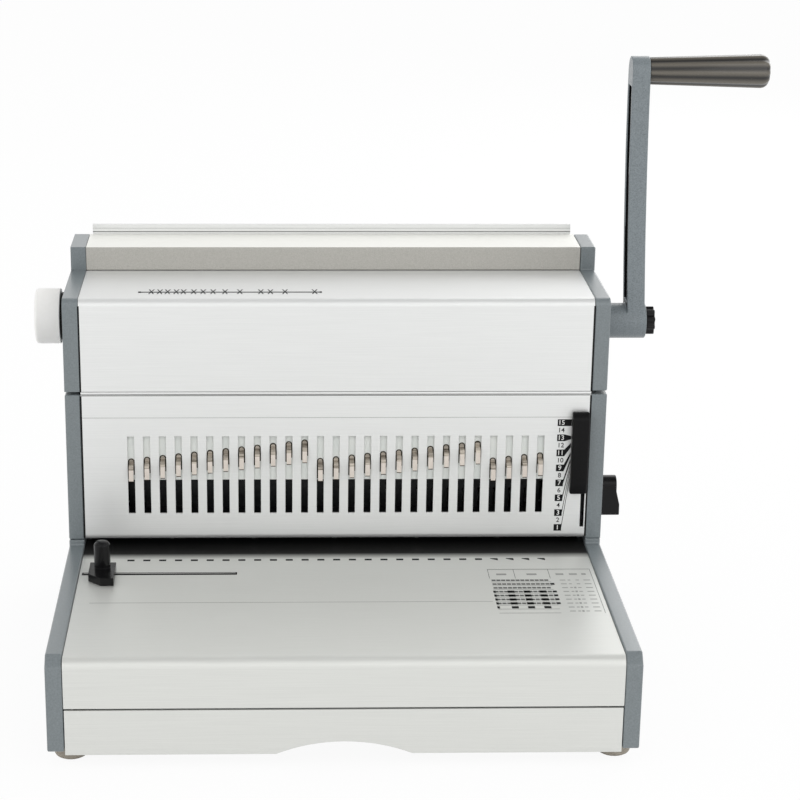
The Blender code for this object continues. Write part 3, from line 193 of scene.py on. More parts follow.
# Satin aluminium: pale metal that blurs what it mirrors. The brushing is drawn coarse so that it shows.
satin = surface("satin anodised aluminium", SATIN_DARK, SATIN_LIGHT, 0.42, 0.5, BRUSHED, 0.003)
eased("tray_plate", 0.35, satin, segments=2, smooth=40)

# Tray printing: hole marks, a sheet line and a chart of ruled cells and bars.
# Screen-printed ink, a few hundredths thick, on the sheet's top face.
INK_LIFT = 0.06 * MM
tray_low, tray_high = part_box("tray_plate")
middle = (tray_low.x + tray_high.x) / 2
tray_top = tray_high.z
tray_front = tray_low.y


def ink(name, code, roughness=0.6):
    """A printing ink: one dull tone with hardly any shine, slightly uneven in its gloss."""
    return surface(name, code, code, roughness, 0.0, (3, 3, 3), 0.0, 0.1)


def inked(name, marks, finish, body="frame"):
    """Printed marks as one thin piece. Each mark is its four corners: two near, then two far."""
    bpy.ops.object.select_all(action="DESELECT")
    bpy.ops.mesh.primitive_plane_add(size=1)
    piece = bpy.context.object
    piece.name = name
    bpy.ops.object.mode_set(mode="EDIT")
    for _ in marks[1:]:
        bpy.ops.mesh.primitive_plane_add(size=1)
    bpy.ops.object.mode_set(mode="OBJECT")
    piece.location = (0, 0, 0)
    for point, place in zip(piece.data.vertices, [corner for mark in marks for corner in mark]):
        point.co = place
    piece.data.materials.append(finish)
    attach(piece, body)
    return piece


def on_tray(x0, y0, x1, y1, slant=0.0, lift=INK_LIFT):
    """A mark on the tray, in mm from the middle and from the front edge."""
    z = tray_top + lift
    near, far = tray_front + y0 * MM, tray_front + y1 * MM
    a, b = middle + x0 * MM, middle + x1 * MM
    lean = slant * MM
    return [(a, near, z), (b, near - lean, z), (a, far, z), (b, far, z)]


black_ink = ink("black ink", "#1B1B1C")
grey_ink = ink("grey ink", "#626361")
pale_ink = ink("pale grey ink", "#9C9D9A")
PITCH, HOLES, WEDGES = 14.2875, 27, 4
DASH_HALF, DASH_NEAR, DASH_FAR = 3.2, 224.5, 228.5
WEDGE_LEFT, WEDGE_NEAR, WEDGE_FAR, WEDGE_SLANT = 3.6, 227.4, 228.8, 4.2
dashes = []
for hole in range(HOLES):
    x = (hole - HOLES // 2) * PITCH
    if hole < HOLES - WEDGES:
        dashes.append(on_tray(x - DASH_HALF, DASH_NEAR, x + DASH_HALF, DASH_FAR))
    else:
        dashes.append(on_tray(x - WEDGE_LEFT, WEDGE_NEAR, x + DASH_HALF, WEDGE_FAR, WEDGE_SLANT))
inked("tray_hole_marks", dashes, black_ink)

# Painted shade at the guide slot: a black border round it and a black sheet sunk in it, so that the slot
# reads as a dark gap.
SLOT_LEFT, SLOT_RIGHT, SLOT_NEAR, SLOT_FAR, SLOT_SHADE_BORDER = -226, -91, 191.2, 194.8, 1.3
SLOT_SHADE_SINK = -0.5 * MM
inked("guide_slot_painted_shade", [on_tray(SLOT_LEFT - SLOT_SHADE_BORDER, SLOT_NEAR - SLOT_SHADE_BORDER, SLOT_RIGHT + SLOT_SHADE_BORDER, SLOT_NEAR),
                          on_tray(SLOT_LEFT - SLOT_SHADE_BORDER, SLOT_FAR, SLOT_RIGHT + SLOT_SHADE_BORDER, SLOT_FAR + SLOT_SHADE_BORDER),
                          on_tray(SLOT_LEFT - SLOT_SHADE_BORDER, SLOT_NEAR, SLOT_LEFT, SLOT_FAR),
                          on_tray(SLOT_RIGHT, SLOT_NEAR, SLOT_RIGHT + SLOT_SHADE_BORDER, SLOT_FAR),
                          on_tray(SLOT_LEFT, SLOT_NEAR, SLOT_RIGHT, SLOT_FAR, lift=SLOT_SHADE_SINK)], black_ink)

CHART_LEFT, CHART_RIGHT, CHART_SPLIT, HEAD_SPLIT = 134, 226, 188, 157
CHART_FRONT, CHART_REAR, CHART_HEAD, CHART_ROWS = 96, 200, 178, 9
ROW = (CHART_HEAD - CHART_FRONT) / CHART_ROWS
SHEET_LINE = (-216, 123.2, 132, 124.0)
RULE, REAR_RULE, ROW_RULE = 0.4, 0.9, 1.0
BAR_ROWS, BAR_COLUMNS, BAR_INSET, BAR_STEP, BAR_SIZE = 7, 12, 1.5, 4.25, 3.6
BLOCK_ROWS, BLOCKS, BLOCK_HALF = (3, 4, 5, 6, 7), ((0.5, 2.2), (13.0, 6), (27.0, 6), (41.0, 6)), 2.6
TAB_ROWS, TAB_LEFT, TAB_HALF = (1, 3, 4, 5, 6), 1.5, 2.2
CELLS, CELL_HALF = ((8, 5), (15, 2.5), (22, 3), (29, 6)), 0.9
TICK_FIRST_ROW, TICK_LEFT, TICK_RIGHT, TICK_HALF = 2, 18.5, 20.5, 1.8
HEADINGS, HEADING_NEAR, HEADING_FAR = ((141, 9), (168, 9), (194, 7), (206, 7), (217, 4)), 8, 12
fine = [on_tray(*SHEET_LINE)]
rules = [on_tray(CHART_LEFT, CHART_REAR, CHART_RIGHT, CHART_REAR + REAR_RULE),
         on_tray(CHART_RIGHT - RULE, CHART_FRONT, CHART_RIGHT, CHART_REAR)]
rules += [on_tray(x, CHART_HEAD, x + RULE, CHART_REAR) for x in (CHART_LEFT, HEAD_SPLIT, CHART_SPLIT)]
bars, blocks = [], []
for row in range(CHART_ROWS):
    y = CHART_HEAD - (row + 0.5) * ROW
    fine.append(on_tray(CHART_LEFT + 1, y - ROW / 2, CHART_SPLIT, y - ROW / 2 + ROW_RULE))
    if row < BAR_ROWS:
        for column in range(BAR_COLUMNS):
            x = CHART_LEFT + BAR_INSET + column * BAR_STEP
            bars.append(on_tray(x, y - BAR_SIZE / 2, x + BAR_SIZE, y + BAR_SIZE / 2))
    if row in BLOCK_ROWS:
        for inset, width in BLOCKS:
            x = CHART_LEFT + inset
            blocks.append(on_tray(x, y - BLOCK_HALF, x + width, y + BLOCK_HALF))
    if row in TAB_ROWS:
        blocks.append(on_tray(CHART_SPLIT - TAB_LEFT, y - TAB_HALF, CHART_SPLIT + TAB_HALF, y + TAB_HALF))
    for inset, width in CELLS:
        x = CHART_SPLIT + inset
        fine.append(on_tray(x, y - CELL_HALF, x + width, y + CELL_HALF))
    if row >= TICK_FIRST_ROW:
        fine.append(on_tray(CHART_SPLIT + TICK_LEFT, y - TICK_HALF, CHART_SPLIT + TICK_RIGHT, y + TICK_HALF))
for x, width in HEADINGS:
    fine.append(on_tray(x, CHART_HEAD + HEADING_NEAR, x + width, CHART_HEAD + HEADING_FAR))
inked("tray_chart_fine", fine, pale_ink)
inked("tray_chart_rules", rules, grey_ink)
inked("tray_chart_bars", bars, grey_ink)
inked("tray_chart_blocks", blocks, black_ink)

# Throat band: the tray's rear edge, which runs on under the front panel into the punch throat.
# Painted shade: a dark band with a soft front edge, where the throat's shadow and its reflection fall on the
# satin sheet.
BAND_HALF, BAND_FRONT, BAND_DARK, BAND_REAR = 229.6, 230, 243, 281.8
# Painted shade: near black with little shine, fading to the tray's own tone towards the front.
painted_throat_shade = surface("painted throat shade", "#262626", "#2A2A2A", 0.42, 0.5, BRUSHED, 0.0, 0.1)
tree = painted_throat_shade.node_tree
place = add_node(tree, "ShaderNodeTexCoord")
parts = add_node(tree, "ShaderNodeSeparateXYZ", {"Vector": place.outputs["Object"]})
fade = add_node(tree, "ShaderNodeMapRange",
                {"Value": parts.outputs["Y"], "From Min": tray_front + BAND_FRONT * MM,
                 "From Max": tray_front + BAND_DARK * MM})
shade_ramp = add_node(tree, "ShaderNodeValToRGB", {"Fac": fade.outputs["Result"]})
shade_ramp.color_ramp.elements[0].color = linear(SATIN_DARK)
shade_ramp.color_ramp.elements[1].color = linear("#262626")
tree.links.new(shade_ramp.outputs["Color"], tree.nodes["Principled BSDF"].inputs["Base Color"])
inked("throat_painted_shade", [on_tray(-BAND_HALF, BAND_FRONT, BAND_HALF, BAND_REAR)], painted_throat_shade)

# Drawer: a bent aluminium front with a finger arch, riveted to a steel bin.
# The front has the tray's finish; the bin is galvanised.
eased("drawer_front", 0.5, satin, "drawer", segments=2)
eased("chip_bin", 0.4, galvanised, "drawer", segments=2)

# End caps: die-cast covers that close the body at both ends, in two storeys.
# The same grey enamel as the base, with softly rounded edges.
for side in ("left", "right"):
    eased("lower_cap_" + side, 1.6, grey_paint)
    eased("upper_cap_" + side, 1.6, grey_paint, angle=40, smooth=40)

# Front panels: the slotted lower panel and the upper panel with its ledge.
# Satin aluminium, brighter than the tray.
# Bright satin aluminium: as the tray's, paler and a little sharper in what it mirrors.
panel_satin = surface("bright satin aluminium", "#E3E4E3", "#E9EAE9", 0.4, 0.5, BRUSHED, 0.003)
eased("front_panel_lower", 0.4, panel_satin, segments=2)
eased("front_panel_upper", 0.4, panel_satin, segments=2, smooth=40)

# Joint strip: a narrow extrusion that covers the seam between the two front panels.
# The same satin aluminium, set a little back so that two fine lines show.
STRIP_DEPTH, STRIP_BACK, STRIP_GAPS = 1.6 * MM, 1.1 * MM, 0.9 * MM
panel_low, panel_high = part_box("front_panel_lower")
seam_low = panel_high.z
seam_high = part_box("front_panel_upper")[0].z
face_y = panel_low.y


def rounded_off(piece, width, segments, smooth, finish):
    """Puts a new piece's place in its mesh, rounds its edges by width (mm) and gives it its finish."""
    bpy.ops.object.transform_apply(location=True, rotation=True, scale=True)
    bevel = piece.modifiers.new("edges", "BEVEL")
    bevel.width = width * MM
    bevel.segments = segments
    bevel.limit_method = "ANGLE"
    bpy.ops.object.modifier_apply(modifier="edges")
    bpy.ops.object.shade_smooth_by_angle(angle=math.radians(smooth))
    piece.data.materials.append(finish)


bpy.ops.object.select_all(action="DESELECT")
bpy.ops.mesh.primitive_cube_add(size=1, location=(middle, face_y + STRIP_BACK, (seam_low + seam_high) / 2))
strip = bpy.context.object
strip.name = "panel_joint_strip"
strip.scale = (panel_high.x - panel_low.x, STRIP_DEPTH, seam_high - seam_low - STRIP_GAPS)
rounded_off(strip, 0.3, 2, 32, panel_satin)
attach(strip, "frame")

# Slider scale: fifteen numbered rows right of the slots, every other one reversed out of black.
# Screen-printed ink, with tapered leaders that join the black rows to the slider's edge.
FACE_LIFT = 0.06 * MM
SCALE_ROWS, SCALE_TOP, SCALE_STEP, BOX_HALF = 15, 213.3, 7.2, 3.2
SCALE_LEFT, SCALE_RIGHT, LEADER_END = 200.4, 207.4, 213.2
# Each leader's height at the slider's edge and half its width there, from the top row down.
LEADERS = ((213.3, 3.1), (199.1, 1.4), (192.0, 2.1), (183.4, 1.7),
           (177.0, 2.0), (171.7, 1.1), (167.4, 1.3), (160.0, 2.1))
FULL_ROOTS, ROOT_HEIGHT = 4, 4.0


def on_face(x0, x1, near, far):
    """A mark on the front face: its left side spans near (low, high), its right side far, in mm."""
    y = face_y - FACE_LIFT
    a, b = middle + x0 * MM, middle + x1 * MM
    return [(a, y, near[0] * MM), (b, y, far[0] * MM), (a, y, near[1] * MM), (b, y, far[1] * MM)]


boxes = []
for number, (end, half) in enumerate(LEADERS):
    z = SCALE_TOP - 2 * number * SCALE_STEP
    row = (z - BOX_HALF, z + BOX_HALF)
    boxes.append(on_face(SCALE_LEFT, SCALE_RIGHT, row, row))
    root = row if number < FULL_ROOTS else (z + BOX_HALF - ROOT_HEIGHT, z + BOX_HALF)
    boxes.append(on_face(SCALE_RIGHT, LEADER_END, root, (end - half, end + half)))
inked("slider_scale_boxes", boxes, black_ink)

# Painted shade: a black sheet behind the slider's stem slot, so that the slot reads dark all along.
STEM_SHADE_BEHIND, STEM_SHADE_SPAN, STEM_SHADE_INSET = 10.6 * MM, (106, 226), 2.6 * MM
cap_low, cap_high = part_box("slider_cap")
stem_shade_sheet = [(x, face_y + STEM_SHADE_BEHIND, z * MM)
          for z in STEM_SHADE_SPAN for x in (cap_low.x + STEM_SHADE_INSET, cap_high.x - STEM_SHADE_INSET)]
inked("slider_slot_painted_shade", [stem_shade_sheet], black_ink)

FINE_LINE, FINE_LINE_HALF = (218.4, 218.8), 229
SEAM_LINE, SEAM_LINE_HALF = (239.1, 239.7), 229.4
# Painted shade: black lines down the caps' inner edges, where the gap between cap and panel lies in shadow.
GAP_LINES, GAP_CENTRE, GAP_HALF = ((104, 239), (243.2, 322)), 229.6, 0.8
inked("panel_fine_line", [on_face(-FINE_LINE_HALF, FINE_LINE_HALF, FINE_LINE, FINE_LINE)], pale_ink)
inked("panel_seam_line", [on_face(-SEAM_LINE_HALF, SEAM_LINE_HALF, SEAM_LINE, SEAM_LINE)], grey_ink)
inked("cap_gap_painted_shade", [on_face(x - GAP_HALF, x + GAP_HALF, span, span)
                        for x in (-GAP_CENTRE, GAP_CENTRE) for span in GAP_LINES], black_ink)
white_ink = ink("white ink", "#EDEDEB")
FIGURE_SIZE, FIGURE_BOLD = 6.2 * MM, 0.06 * MM


def figures(name, rows, finish):
    """Printed row numbers on the front face, converted to mesh and joined."""
    made = []
    for i in rows:
        bpy.ops.object.select_all(action="DESELECT")
        z = (SCALE_TOP - i * SCALE_STEP) * MM
        x = middle + (SCALE_LEFT + SCALE_RIGHT) / 2 * MM
        bpy.ops.object.text_add(location=(x, face_y - 2 * FACE_LIFT, z), rotation=(math.pi / 2, 0, 0))
        text = bpy.context.object
        text.data.body = str(SCALE_ROWS - i)
        text.data.size = FIGURE_SIZE
        text.data.align_x = "CENTER"
        text.data.align_y = "CENTER"
        text.data.offset = FIGURE_BOLD
        bpy.ops.object.convert(target="MESH")
        bpy.ops.object.transform_apply(location=True, rotation=True, scale=True)
        made.append(bpy.context.object)
    for text in made:
        text.select_set(True)
    bpy.context.view_layer.objects.active = made[0]
    bpy.ops.object.join()
    made[0].name = name
    made[0].data.materials.clear()
    made[0].data.materials.append(finish)
    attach(made[0], "frame")


figures("slider_scale_white_figures", range(0, SCALE_ROWS, 2), white_ink)
figures("slider_scale_black_figures", range(1, SCALE_ROWS, 2), black_ink)

# Ledge scale: a printed line with fourteen graduation crosses on the upper panel's ledge.
# Dark grey ink.
LEDGE_LINE = (-176.9, -1.7, -13.8, 1.7)
LEDGE_START, LEDGE_END = (-177.6, -2.6, -175, 2.6), (-15, -2.8, -13, 2.8)
CROSSES = (-165.8, -158.3, -151.3, -143.5, -137.1, -127.9, -119.5,
           -110.6, -99.9, -86.6, -67.8, -59.2, -46.1, -19.5)
CROSS_LEAN, CROSS_HALF, CROSS_NEAR, CROSS_FAR = 2.2, 0.6, -7.0, 10.0
ledge_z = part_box("front_panel_upper")[1].z + INK_LIFT
scale_y = 74.1 * MM


def on_ledge(x0, y0, x1, y1, lean=0.0):
    """A mark on the ledge, in mm: X from the middle, Y from the scale's own line."""
    a, b = middle + x0 * MM, middle + x1 * MM
    near, far = scale_y + y0 * MM, scale_y + y1 * MM
    return [(a - lean * MM, near, ledge_z), (b - lean * MM, near, ledge_z),
            (a + lean * MM, far, ledge_z), (b + lean * MM, far, ledge_z)]


marks = [on_ledge(*mark) for mark in (LEDGE_LINE, LEDGE_START, LEDGE_END)]
marks += [on_ledge(x - CROSS_HALF, CROSS_NEAR, x + CROSS_HALF, CROSS_FAR, lean)
          for x in CROSSES for lean in (-CROSS_LEAN, CROSS_LEAN)]
inked("ledge_scale", marks, ink("dark grey ink", "#4A4B4C"))

# Lip screws: five small screws under the lower panel's bottom lip.
# Bright steel, turned.
# Bright steel: a clear, slightly blurred mirror.
bright_steel = surface("bright steel", "#C2C4C4", "#D2D4D3", 0.25, 1.0, (8, 8, 8), 0.0)
for number in range(1, 6):
    eased("lip_screw_%d" % number, 0.25, bright_steel, segments=2, smooth=45)

# Top bar, rear cover and rear strip: the closing bar behind the ledge and what shuts the rear.
# The bar's front is warm grey as painted shade and its top near white as painted light; satin aluminium
# behind it.
# Painted shade on the bar's front: warm grey with a sandy relief and no clear highlight.
bar_front_shade = surface("bar front with painted shade", "#A8A69F", "#BCBAB4", 0.55, 0.0, (0.8, 0.8, 0.8), 0.03)
# Painted light on the bar's top: nearly white, with a soft sheen along the bar.
bar_top_light = surface("bar top with painted light", "#EEEEE8", "#F5F5F0", 0.45, 0.2, BRUSHED, 0.0)
bar = eased("top_bar", 0.5, bar_front_shade, segments=2)
bar.data.materials.append(bar_top_light)
# Faces that look up take the painted light, the others the painted shade.
for face in bar.data.polygons:
    face.material_index = 1 if face.normal.z > 0.5 else 0
eased("rear_cover", 0.3, satin, segments=2)
eased("rear_strip", 0.5, panel_satin, segments=2)
FOOT_SHADOW, FOLD_LINE = (1.9, 2.6), (5.4, 5.7)
strip_low, strip_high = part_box("rear_strip")
bar_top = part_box("top_bar")[1].z


def on_strip(low, high):
    """A line along the rear strip's front face, between two heights above the bar in mm."""
    y = strip_low.y - FACE_LIFT
    foot, head = bar_top + low * MM, bar_top + high * MM
    return [(strip_low.x, y, foot), (strip_high.x, y, foot), (strip_low.x, y, head), (strip_high.x, y, head)]


# Painted shadow: a grey line at the strip's foot, just above the top bar.
inked("rear_strip_foot_shadow", [on_strip(*FOOT_SHADOW)], grey_ink)
inked("rear_strip_fold_line", [on_strip(*FOLD_LINE)], pale_ink)

# Rear screws: six domed screws that hold the rear cover, let a little into it.
# The same bright steel as the lip screws.
SCREW_RADIUS, SCREW_HEIGHT, SCREW_INSET, SCREW_SUNK = 3.6 * MM, 2.2 * MM, 11 * MM, 0.5 * MM
cover_low, cover_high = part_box("rear_cover")
screw_x, screw_z = cover_low.x + SCREW_INSET, cover_low.z + SCREW_INSET
bpy.ops.object.select_all(action="DESELECT")
bpy.ops.mesh.primitive_cylinder_add(
    vertices=24, radius=SCREW_RADIUS, depth=SCREW_HEIGHT, rotation=(math.pi / 2, 0, 0),
    location=(screw_x, cover_high.y + SCREW_HEIGHT / 2 - SCREW_SUNK, screw_z))
first_screw = bpy.context.object
first_screw.name = "rear_screw_low_left"
rounded_off(first_screw, 1.1, 4, 50, bright_steel)
for row, z in (("low", screw_z), ("high", cover_high.z - SCREW_INSET)):
    for column, x in (("left", screw_x), ("middle", (cover_low.x + cover_high.x) / 2),
                      ("right", cover_high.x - SCREW_INSET)):
        if (row, column) == ("low", "left"):
            continue
        screw = first_screw.copy()
        screw.data = first_screw.data.copy()
        screw.name = "rear_screw_%s_%s" % (row, column)
        screw.data.transform(Matrix.Translation((x - screw_x, 0, z - screw_z)))
        bpy.context.collection.objects.link(screw)
        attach(screw, "frame")
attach(first_screw, "frame")

# Frame, shaft, ram, punches, die and springs: the works inside the covers.
# Oiled steel and galvanised plates, with bronze bushes.
# Bearing bronze: a dull golden metal.
bronze = surface("bearing bronze", "#9C7A45", "#B38F55", 0.38, 1.0, (4, 4, 4), 0.0)
# Oiled steel: dark, with a wet sheen.
dark_steel = surface("oiled steel", "#2E2F30", "#3C3D3E", 0.4, 0.8, (5, 5, 5), 0.0)
for side in ("left", "right"):
    eased("frame_plate_" + side, 0.3, galvanised, segments=2)
    eased("shaft_bush_" + side, 0.3, bronze, segments=2)
    eased("guide_rod_" + side, 0.4, bright_steel, segments=2)
    eased("opener_rail_" + side, 0.3, dark_steel, segments=2)
    eased("rack_" + side, 0.15, dark_steel, "ram", segments=1)
    eased("pinion_" + side, 0.15, dark_steel, "lever", segments=1)
    spring = eased("return_spring_" + side, 0, dark_steel, smooth=60, flat=False)
    low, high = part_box("return_spring_" + side)
    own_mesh(spring)
for node, body in (("top_tie", "frame"), ("die_plate", "frame"), ("punch_guide", "frame"),
                   ("punch_ram", "ram"), ("punch_comb", "ram"), ("main_shaft", "lever"),
                   ("margin_stop", "stop"), ("margin_shaft", "margin_setting"),
                   ("size_spindle", "size_setting")):
    eased(node, 0.2, dark_steel, body, segments=1)

# Comb opener: a pale plate behind the slots with three combs of hooks on it.
# Plated sheet with a faint greenish cast, shown a little forward; the hooks are bright, with painted
# reflections in bands at their bends and painted shade round and under them.
PLATE_FORWARD = 6 * MM
HOOK_GROUPS, HOOK_STEP, HOOK_RISE, HOOK_BEND = (12, 11, 4), 1.61, 15.8, 5.5
HOOK_HALF, HOOK_TINE, TINE_SHADOW = 2.1, 15.0, 0.7
RIM_TOP, RIM_INNER, RIM_OUTER, RIM_LEFT, RIM_RIGHT = 4.8, 2.0, 3.1, 15.0, 11.0
RIM_STEPS = 6
# Zinc plate: almost white, with a faint green cast and a dull face.
pale_plate = surface("pale zinc plate", "#EDF1EE", "#F6F8F4", 0.5, 0.0, (20, 6, 20), 0.0)
# Nickelled steel: warm and pale, half mirror.
hook_steel = surface("nickelled hook steel", "#D8CEC5", "#E4DBD2", 0.34, 0.4, (6, 6, 6), 0.0)
# Painted reflections: the same steel at the bend, with light and dark reflections painted on in bands.
bend_painted_reflections = surface("nickelled steel with painted reflections", "#6F675B", "#D5CCBF", 0.3, 0.5, (30, 30, 1.3), 0.0)
plate = eased("opener_plate", 0.2, pale_plate, "opener", segments=1)
for point in plate.data.vertices:
    point.co.y -= PLATE_FORWARD
hook_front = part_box("hook_strip_a")[0].y - FACE_LIFT
plate_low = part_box("opener_plate")[0]
rim_y = plate_low.y - PLATE_FORWARD - FACE_LIFT


def upright(y, x0, x1, low, high):
    """An upright mark at the depth y, from one X to another."""
    left, right = sorted((x0, x1))
    return [(left, y, low), (right, y, low), (left, y, high), (right, y, high)]


edges, roots = [], []
slot = 0
# Faces near each hook's top, and the arches inside its window, take the painted reflections.
for strip, count in zip("abc", HOOK_GROUPS):
    comb = eased("hook_strip_" + strip, 0.25, hook_steel, "opener", segments=2)
    comb.data.materials.append(bend_painted_reflections)
    first = slot
    for face in comb.data.polygons:
        nearest = round((face.center.x - middle) / (PITCH * MM)) + HOLES // 2
        top = plate_low.z + (HOOK_RISE + (nearest - first) * HOOK_STEP) * MM
        face.material_index = 1 if face.center.z > top - HOOK_BEND * MM else 0
    for i in range(count):
        x = middle + (slot - HOLES // 2) * PITCH * MM
        top = plate_low.z + (HOOK_RISE + i * HOOK_STEP) * MM
        heart = top + (RIM_TOP - RIM_OUTER) * MM
        turn = [math.pi * step / RIM_STEPS for step in range(RIM_STEPS + 1)]
        inner, outer = [[(x + radius * MM * math.cos(a), rim_y, heart + radius * MM * math.sin(a))
                         for a in turn] for radius in (RIM_INNER, RIM_OUTER)]
        edges += [[inner[k], outer[k], inner[k + 1], outer[k + 1]] for k in range(RIM_STEPS)]
        roots += [[inner[RIM_STEPS - k], inner[k], inner[RIM_STEPS - 1 - k], inner[k + 1]]
                  for k in range(RIM_STEPS // 2)]
        roots.append(upright(rim_y, x - RIM_INNER * MM, x + RIM_INNER * MM, top - RIM_TOP * MM, heart))
        for side, drop in ((-1, RIM_LEFT), (1, RIM_RIGHT)):
            edges.append(upright(rim_y, x + side * RIM_INNER * MM, x + side * RIM_OUTER * MM,
                                 top - drop * MM, heart))
        foot = top - HOOK_TINE * MM
        edges.append(upright(hook_front, x - HOOK_HALF * MM, x + HOOK_HALF * MM, foot, foot + TINE_SHADOW * MM))
        slot += 1
# Painted shade: a dark arch round each hook where it comes through its window, and a dark line under each
# tine's foot.
inked("hook_painted_shade", edges, ink("painted shade round the hooks", "#2C241B"), "opener")
inked("hook_roots", roots, bend_painted_reflections, "opener")

# Slider: a moulded cap on a steel stem, which moves the opener from the front.
# Black plastic with rounded edges.
# Satin plastic: black, with a fine moulded texture and a weak, broad sheen.
black_plastic = surface("black satin plastic", "#0A0A0B", "#101011", 0.36, 0.0, (2, 2, 2), 0.004, 0.14)
eased("slider_stem", 0.2, dark_steel, "opener", segments=1)
eased("slider_cap", 1.8, black_plastic, "opener")

# Lever: a cast arm on the shaft's end, with a moulded grip and a clamping knob.
# Grey enamel on the arm, whose pocket is black as painted shade; dark fluted plastic on the grip, with
# painted highlights on its ridges.
POCKET_HALF, POCKET_FOOT, POCKET_HEAD, POCKET_DEPTH = 9.2 * MM, 36 * MM, 24 * MM, 17 * MM
FLUTES = 10
# Coarse wrinkle enamel: as the base's, rougher to the eye and with sharper sparkle.
coarse_paint = surface("coarse grey wrinkle paint", "#687074", "#838B8F", 0.3, 0.0, (0.9, 0.9, 0.9), 0.2)
# Grip plastic: dark grey-brown and glossy, with painted highlights: paler on the ridges, where their sheen
# falls.
grip_plastic = surface("dark grip plastic", "#171513", "#1F1D1A", 0.2, 0.0, (1.2, 1.2, 1.2), 0.0, 0.6)
# Gloss plastic: black with small, clear highlights.
black_gloss = surface("black gloss plastic", "#09090A", "#0E0E0F", 0.22, 0.0, (4, 4, 4), 0.0, 0.22)
arm = eased("handle_arm", 1.5, coarse_paint, "lever", smooth=45)
# Painted shade: the pocket's inner faces take black plastic, so that the recess reads dark.
arm.data.materials.append(black_plastic)
arm_low, arm_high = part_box("handle_arm")
pocket_y = (arm_low.y + arm_high.y) / 2
for face in arm.data.polygons:
    inside = (abs(face.center.y - pocket_y) < POCKET_HALF
              and arm_low.z + POCKET_FOOT < face.center.z < arm_high.z - POCKET_HEAD)
    faces_in = face.normal.x < 0.5 and face.center.x > arm_low.x + POCKET_DEPTH
    face.material_index = 1 if inside and faces_in else 0
grip_low, grip_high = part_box("handle_grip")
axis = (grip_low + grip_high) / 2
# Painted highlights: the colour turns paler on each flute's crest, round the grip's axis.
tree = grip_plastic.node_tree
place = add_node(tree, "ShaderNodeTexCoord")
parts = add_node(tree, "ShaderNodeSeparateXYZ", {"Vector": place.outputs["Object"]})
across = add_node(tree, "ShaderNodeMath", {0: parts.outputs["Y"], 1: axis.y}, operation="SUBTRACT")
up = add_node(tree, "ShaderNodeMath", {0: parts.outputs["Z"], 1: axis.z}, operation="SUBTRACT")
bearing = add_node(tree, "ShaderNodeMath", {0: up.outputs[0], 1: across.outputs[0]}, operation="ARCTAN2")
turns = add_node(tree, "ShaderNodeMath", {0: bearing.outputs[0], 1: float(FLUTES)}, operation="MULTIPLY")
wave = add_node(tree, "ShaderNodeMath", {0: turns.outputs[0]}, operation="COSINE")
ridge_glint = add_node(tree, "ShaderNodeMapRange", {"Value": wave.outputs[0], "From Min": -1.0, "From Max": 1.0})
ridge = add_node(tree, "ShaderNodeValToRGB", {"Fac": ridge_glint.outputs["Result"]})
ridge.color_ramp.elements[0].color = linear("#12100E")
ridge.color_ramp.elements[1].color = linear("#625D54")
tree.links.new(ridge.outputs["Color"], tree.nodes["Principled BSDF"].inputs["Base Color"])
eased("handle_grip", 0.4, grip_plastic, "lever", smooth=50, flat=False)
eased("star_knob", 0.8, black_gloss, "lever", smooth=45)

# Margin knob and closing-size knob, pushed on their shafts at the two ends of the body.
# Black and off-white moulded plastic; a black collar sits behind the white knob.
KNOB_SHORTER, KNOB_OUT, KNOB_LENGTH = 0.92, 4 * MM, 0.93
COLLAR_RADIUS, COLLAR_WIDTH, COLLAR_LAP = 22 * MM, 7.4 * MM, 2 * MM
# Off-white plastic: satin, with soft, wide highlights.
white_plastic = surface("off-white plastic", "#F5F4F1", "#F9F8F6", 0.4, 0.0, (10, 10, 10), 0.0)
margin = eased("margin_knob", 1.0, black_gloss, "margin_setting", smooth=45)
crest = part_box("margin_knob")[1].z
for point in margin.data.vertices:
    point.co.z = crest + (point.co.z - crest) * KNOB_SHORTER
knob = eased("size_knob", 0.8, white_plastic, "size_setting", smooth=45)
low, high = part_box("size_knob")
for point in knob.data.vertices:
    point.co.x = low.x - KNOB_OUT + (point.co.x - low.x) * KNOB_LENGTH
bpy.ops.object.select_all(action="DESELECT")
bpy.ops.mesh.primitive_cylinder_add(
    vertices=48, radius=COLLAR_RADIUS, depth=COLLAR_WIDTH, rotation=(0, math.pi / 2, 0),
    location=(high.x - KNOB_OUT - COLLAR_LAP + COLLAR_WIDTH / 2, (low.y + high.y) / 2, (low.z + high.z) / 2))
collar = bpy.context.object
collar.name = "size_knob_collar"
rounded_off(collar, 0.4, 2, 40, black_plastic)
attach(collar, "size_setting")

# Edge guide: a moulded post and shoe that slides along the slot in the tray.
# Black plastic with a domed crown on the post, and a steel nut under the tray.
CROWN_RADIUS, CROWN_FLAT, CROWN_DROP, CROWN_SUNK = 6.3 * MM, 0.42, 0.3 * MM, 0.6 * MM
RIM_BAND = 0.2 * MM
guide = eased("edge_guide", 0.6, black_gloss, "guide", smooth=45)
post_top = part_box("edge_guide")[1].z
rim = [point.co for point in guide.data.vertices if point.co.z > post_top - RIM_BAND]
post = sum(rim, Vector()) / len(rim)
bpy.ops.object.select_all(action="DESELECT")
bpy.ops.mesh.primitive_uv_sphere_add(segments=32, ring_count=16, radius=CROWN_RADIUS)
crown = bpy.context.object
crown.name = "edge_guide_crown"
crown.scale = (1, 1, CROWN_FLAT)
crown.location = (post.x, post.y, post_top - CROWN_DROP)
bpy.ops.object.transform_apply(location=True, rotation=True, scale=True)
bpy.ops.object.mode_set(mode="EDIT")
bpy.ops.mesh.select_all(action="SELECT")
bpy.ops.mesh.bisect(plane_co=(post.x, post.y, post_top - CROWN_SUNK), plane_no=(0, 0, 1),
                    use_fill=True, clear_inner=True)
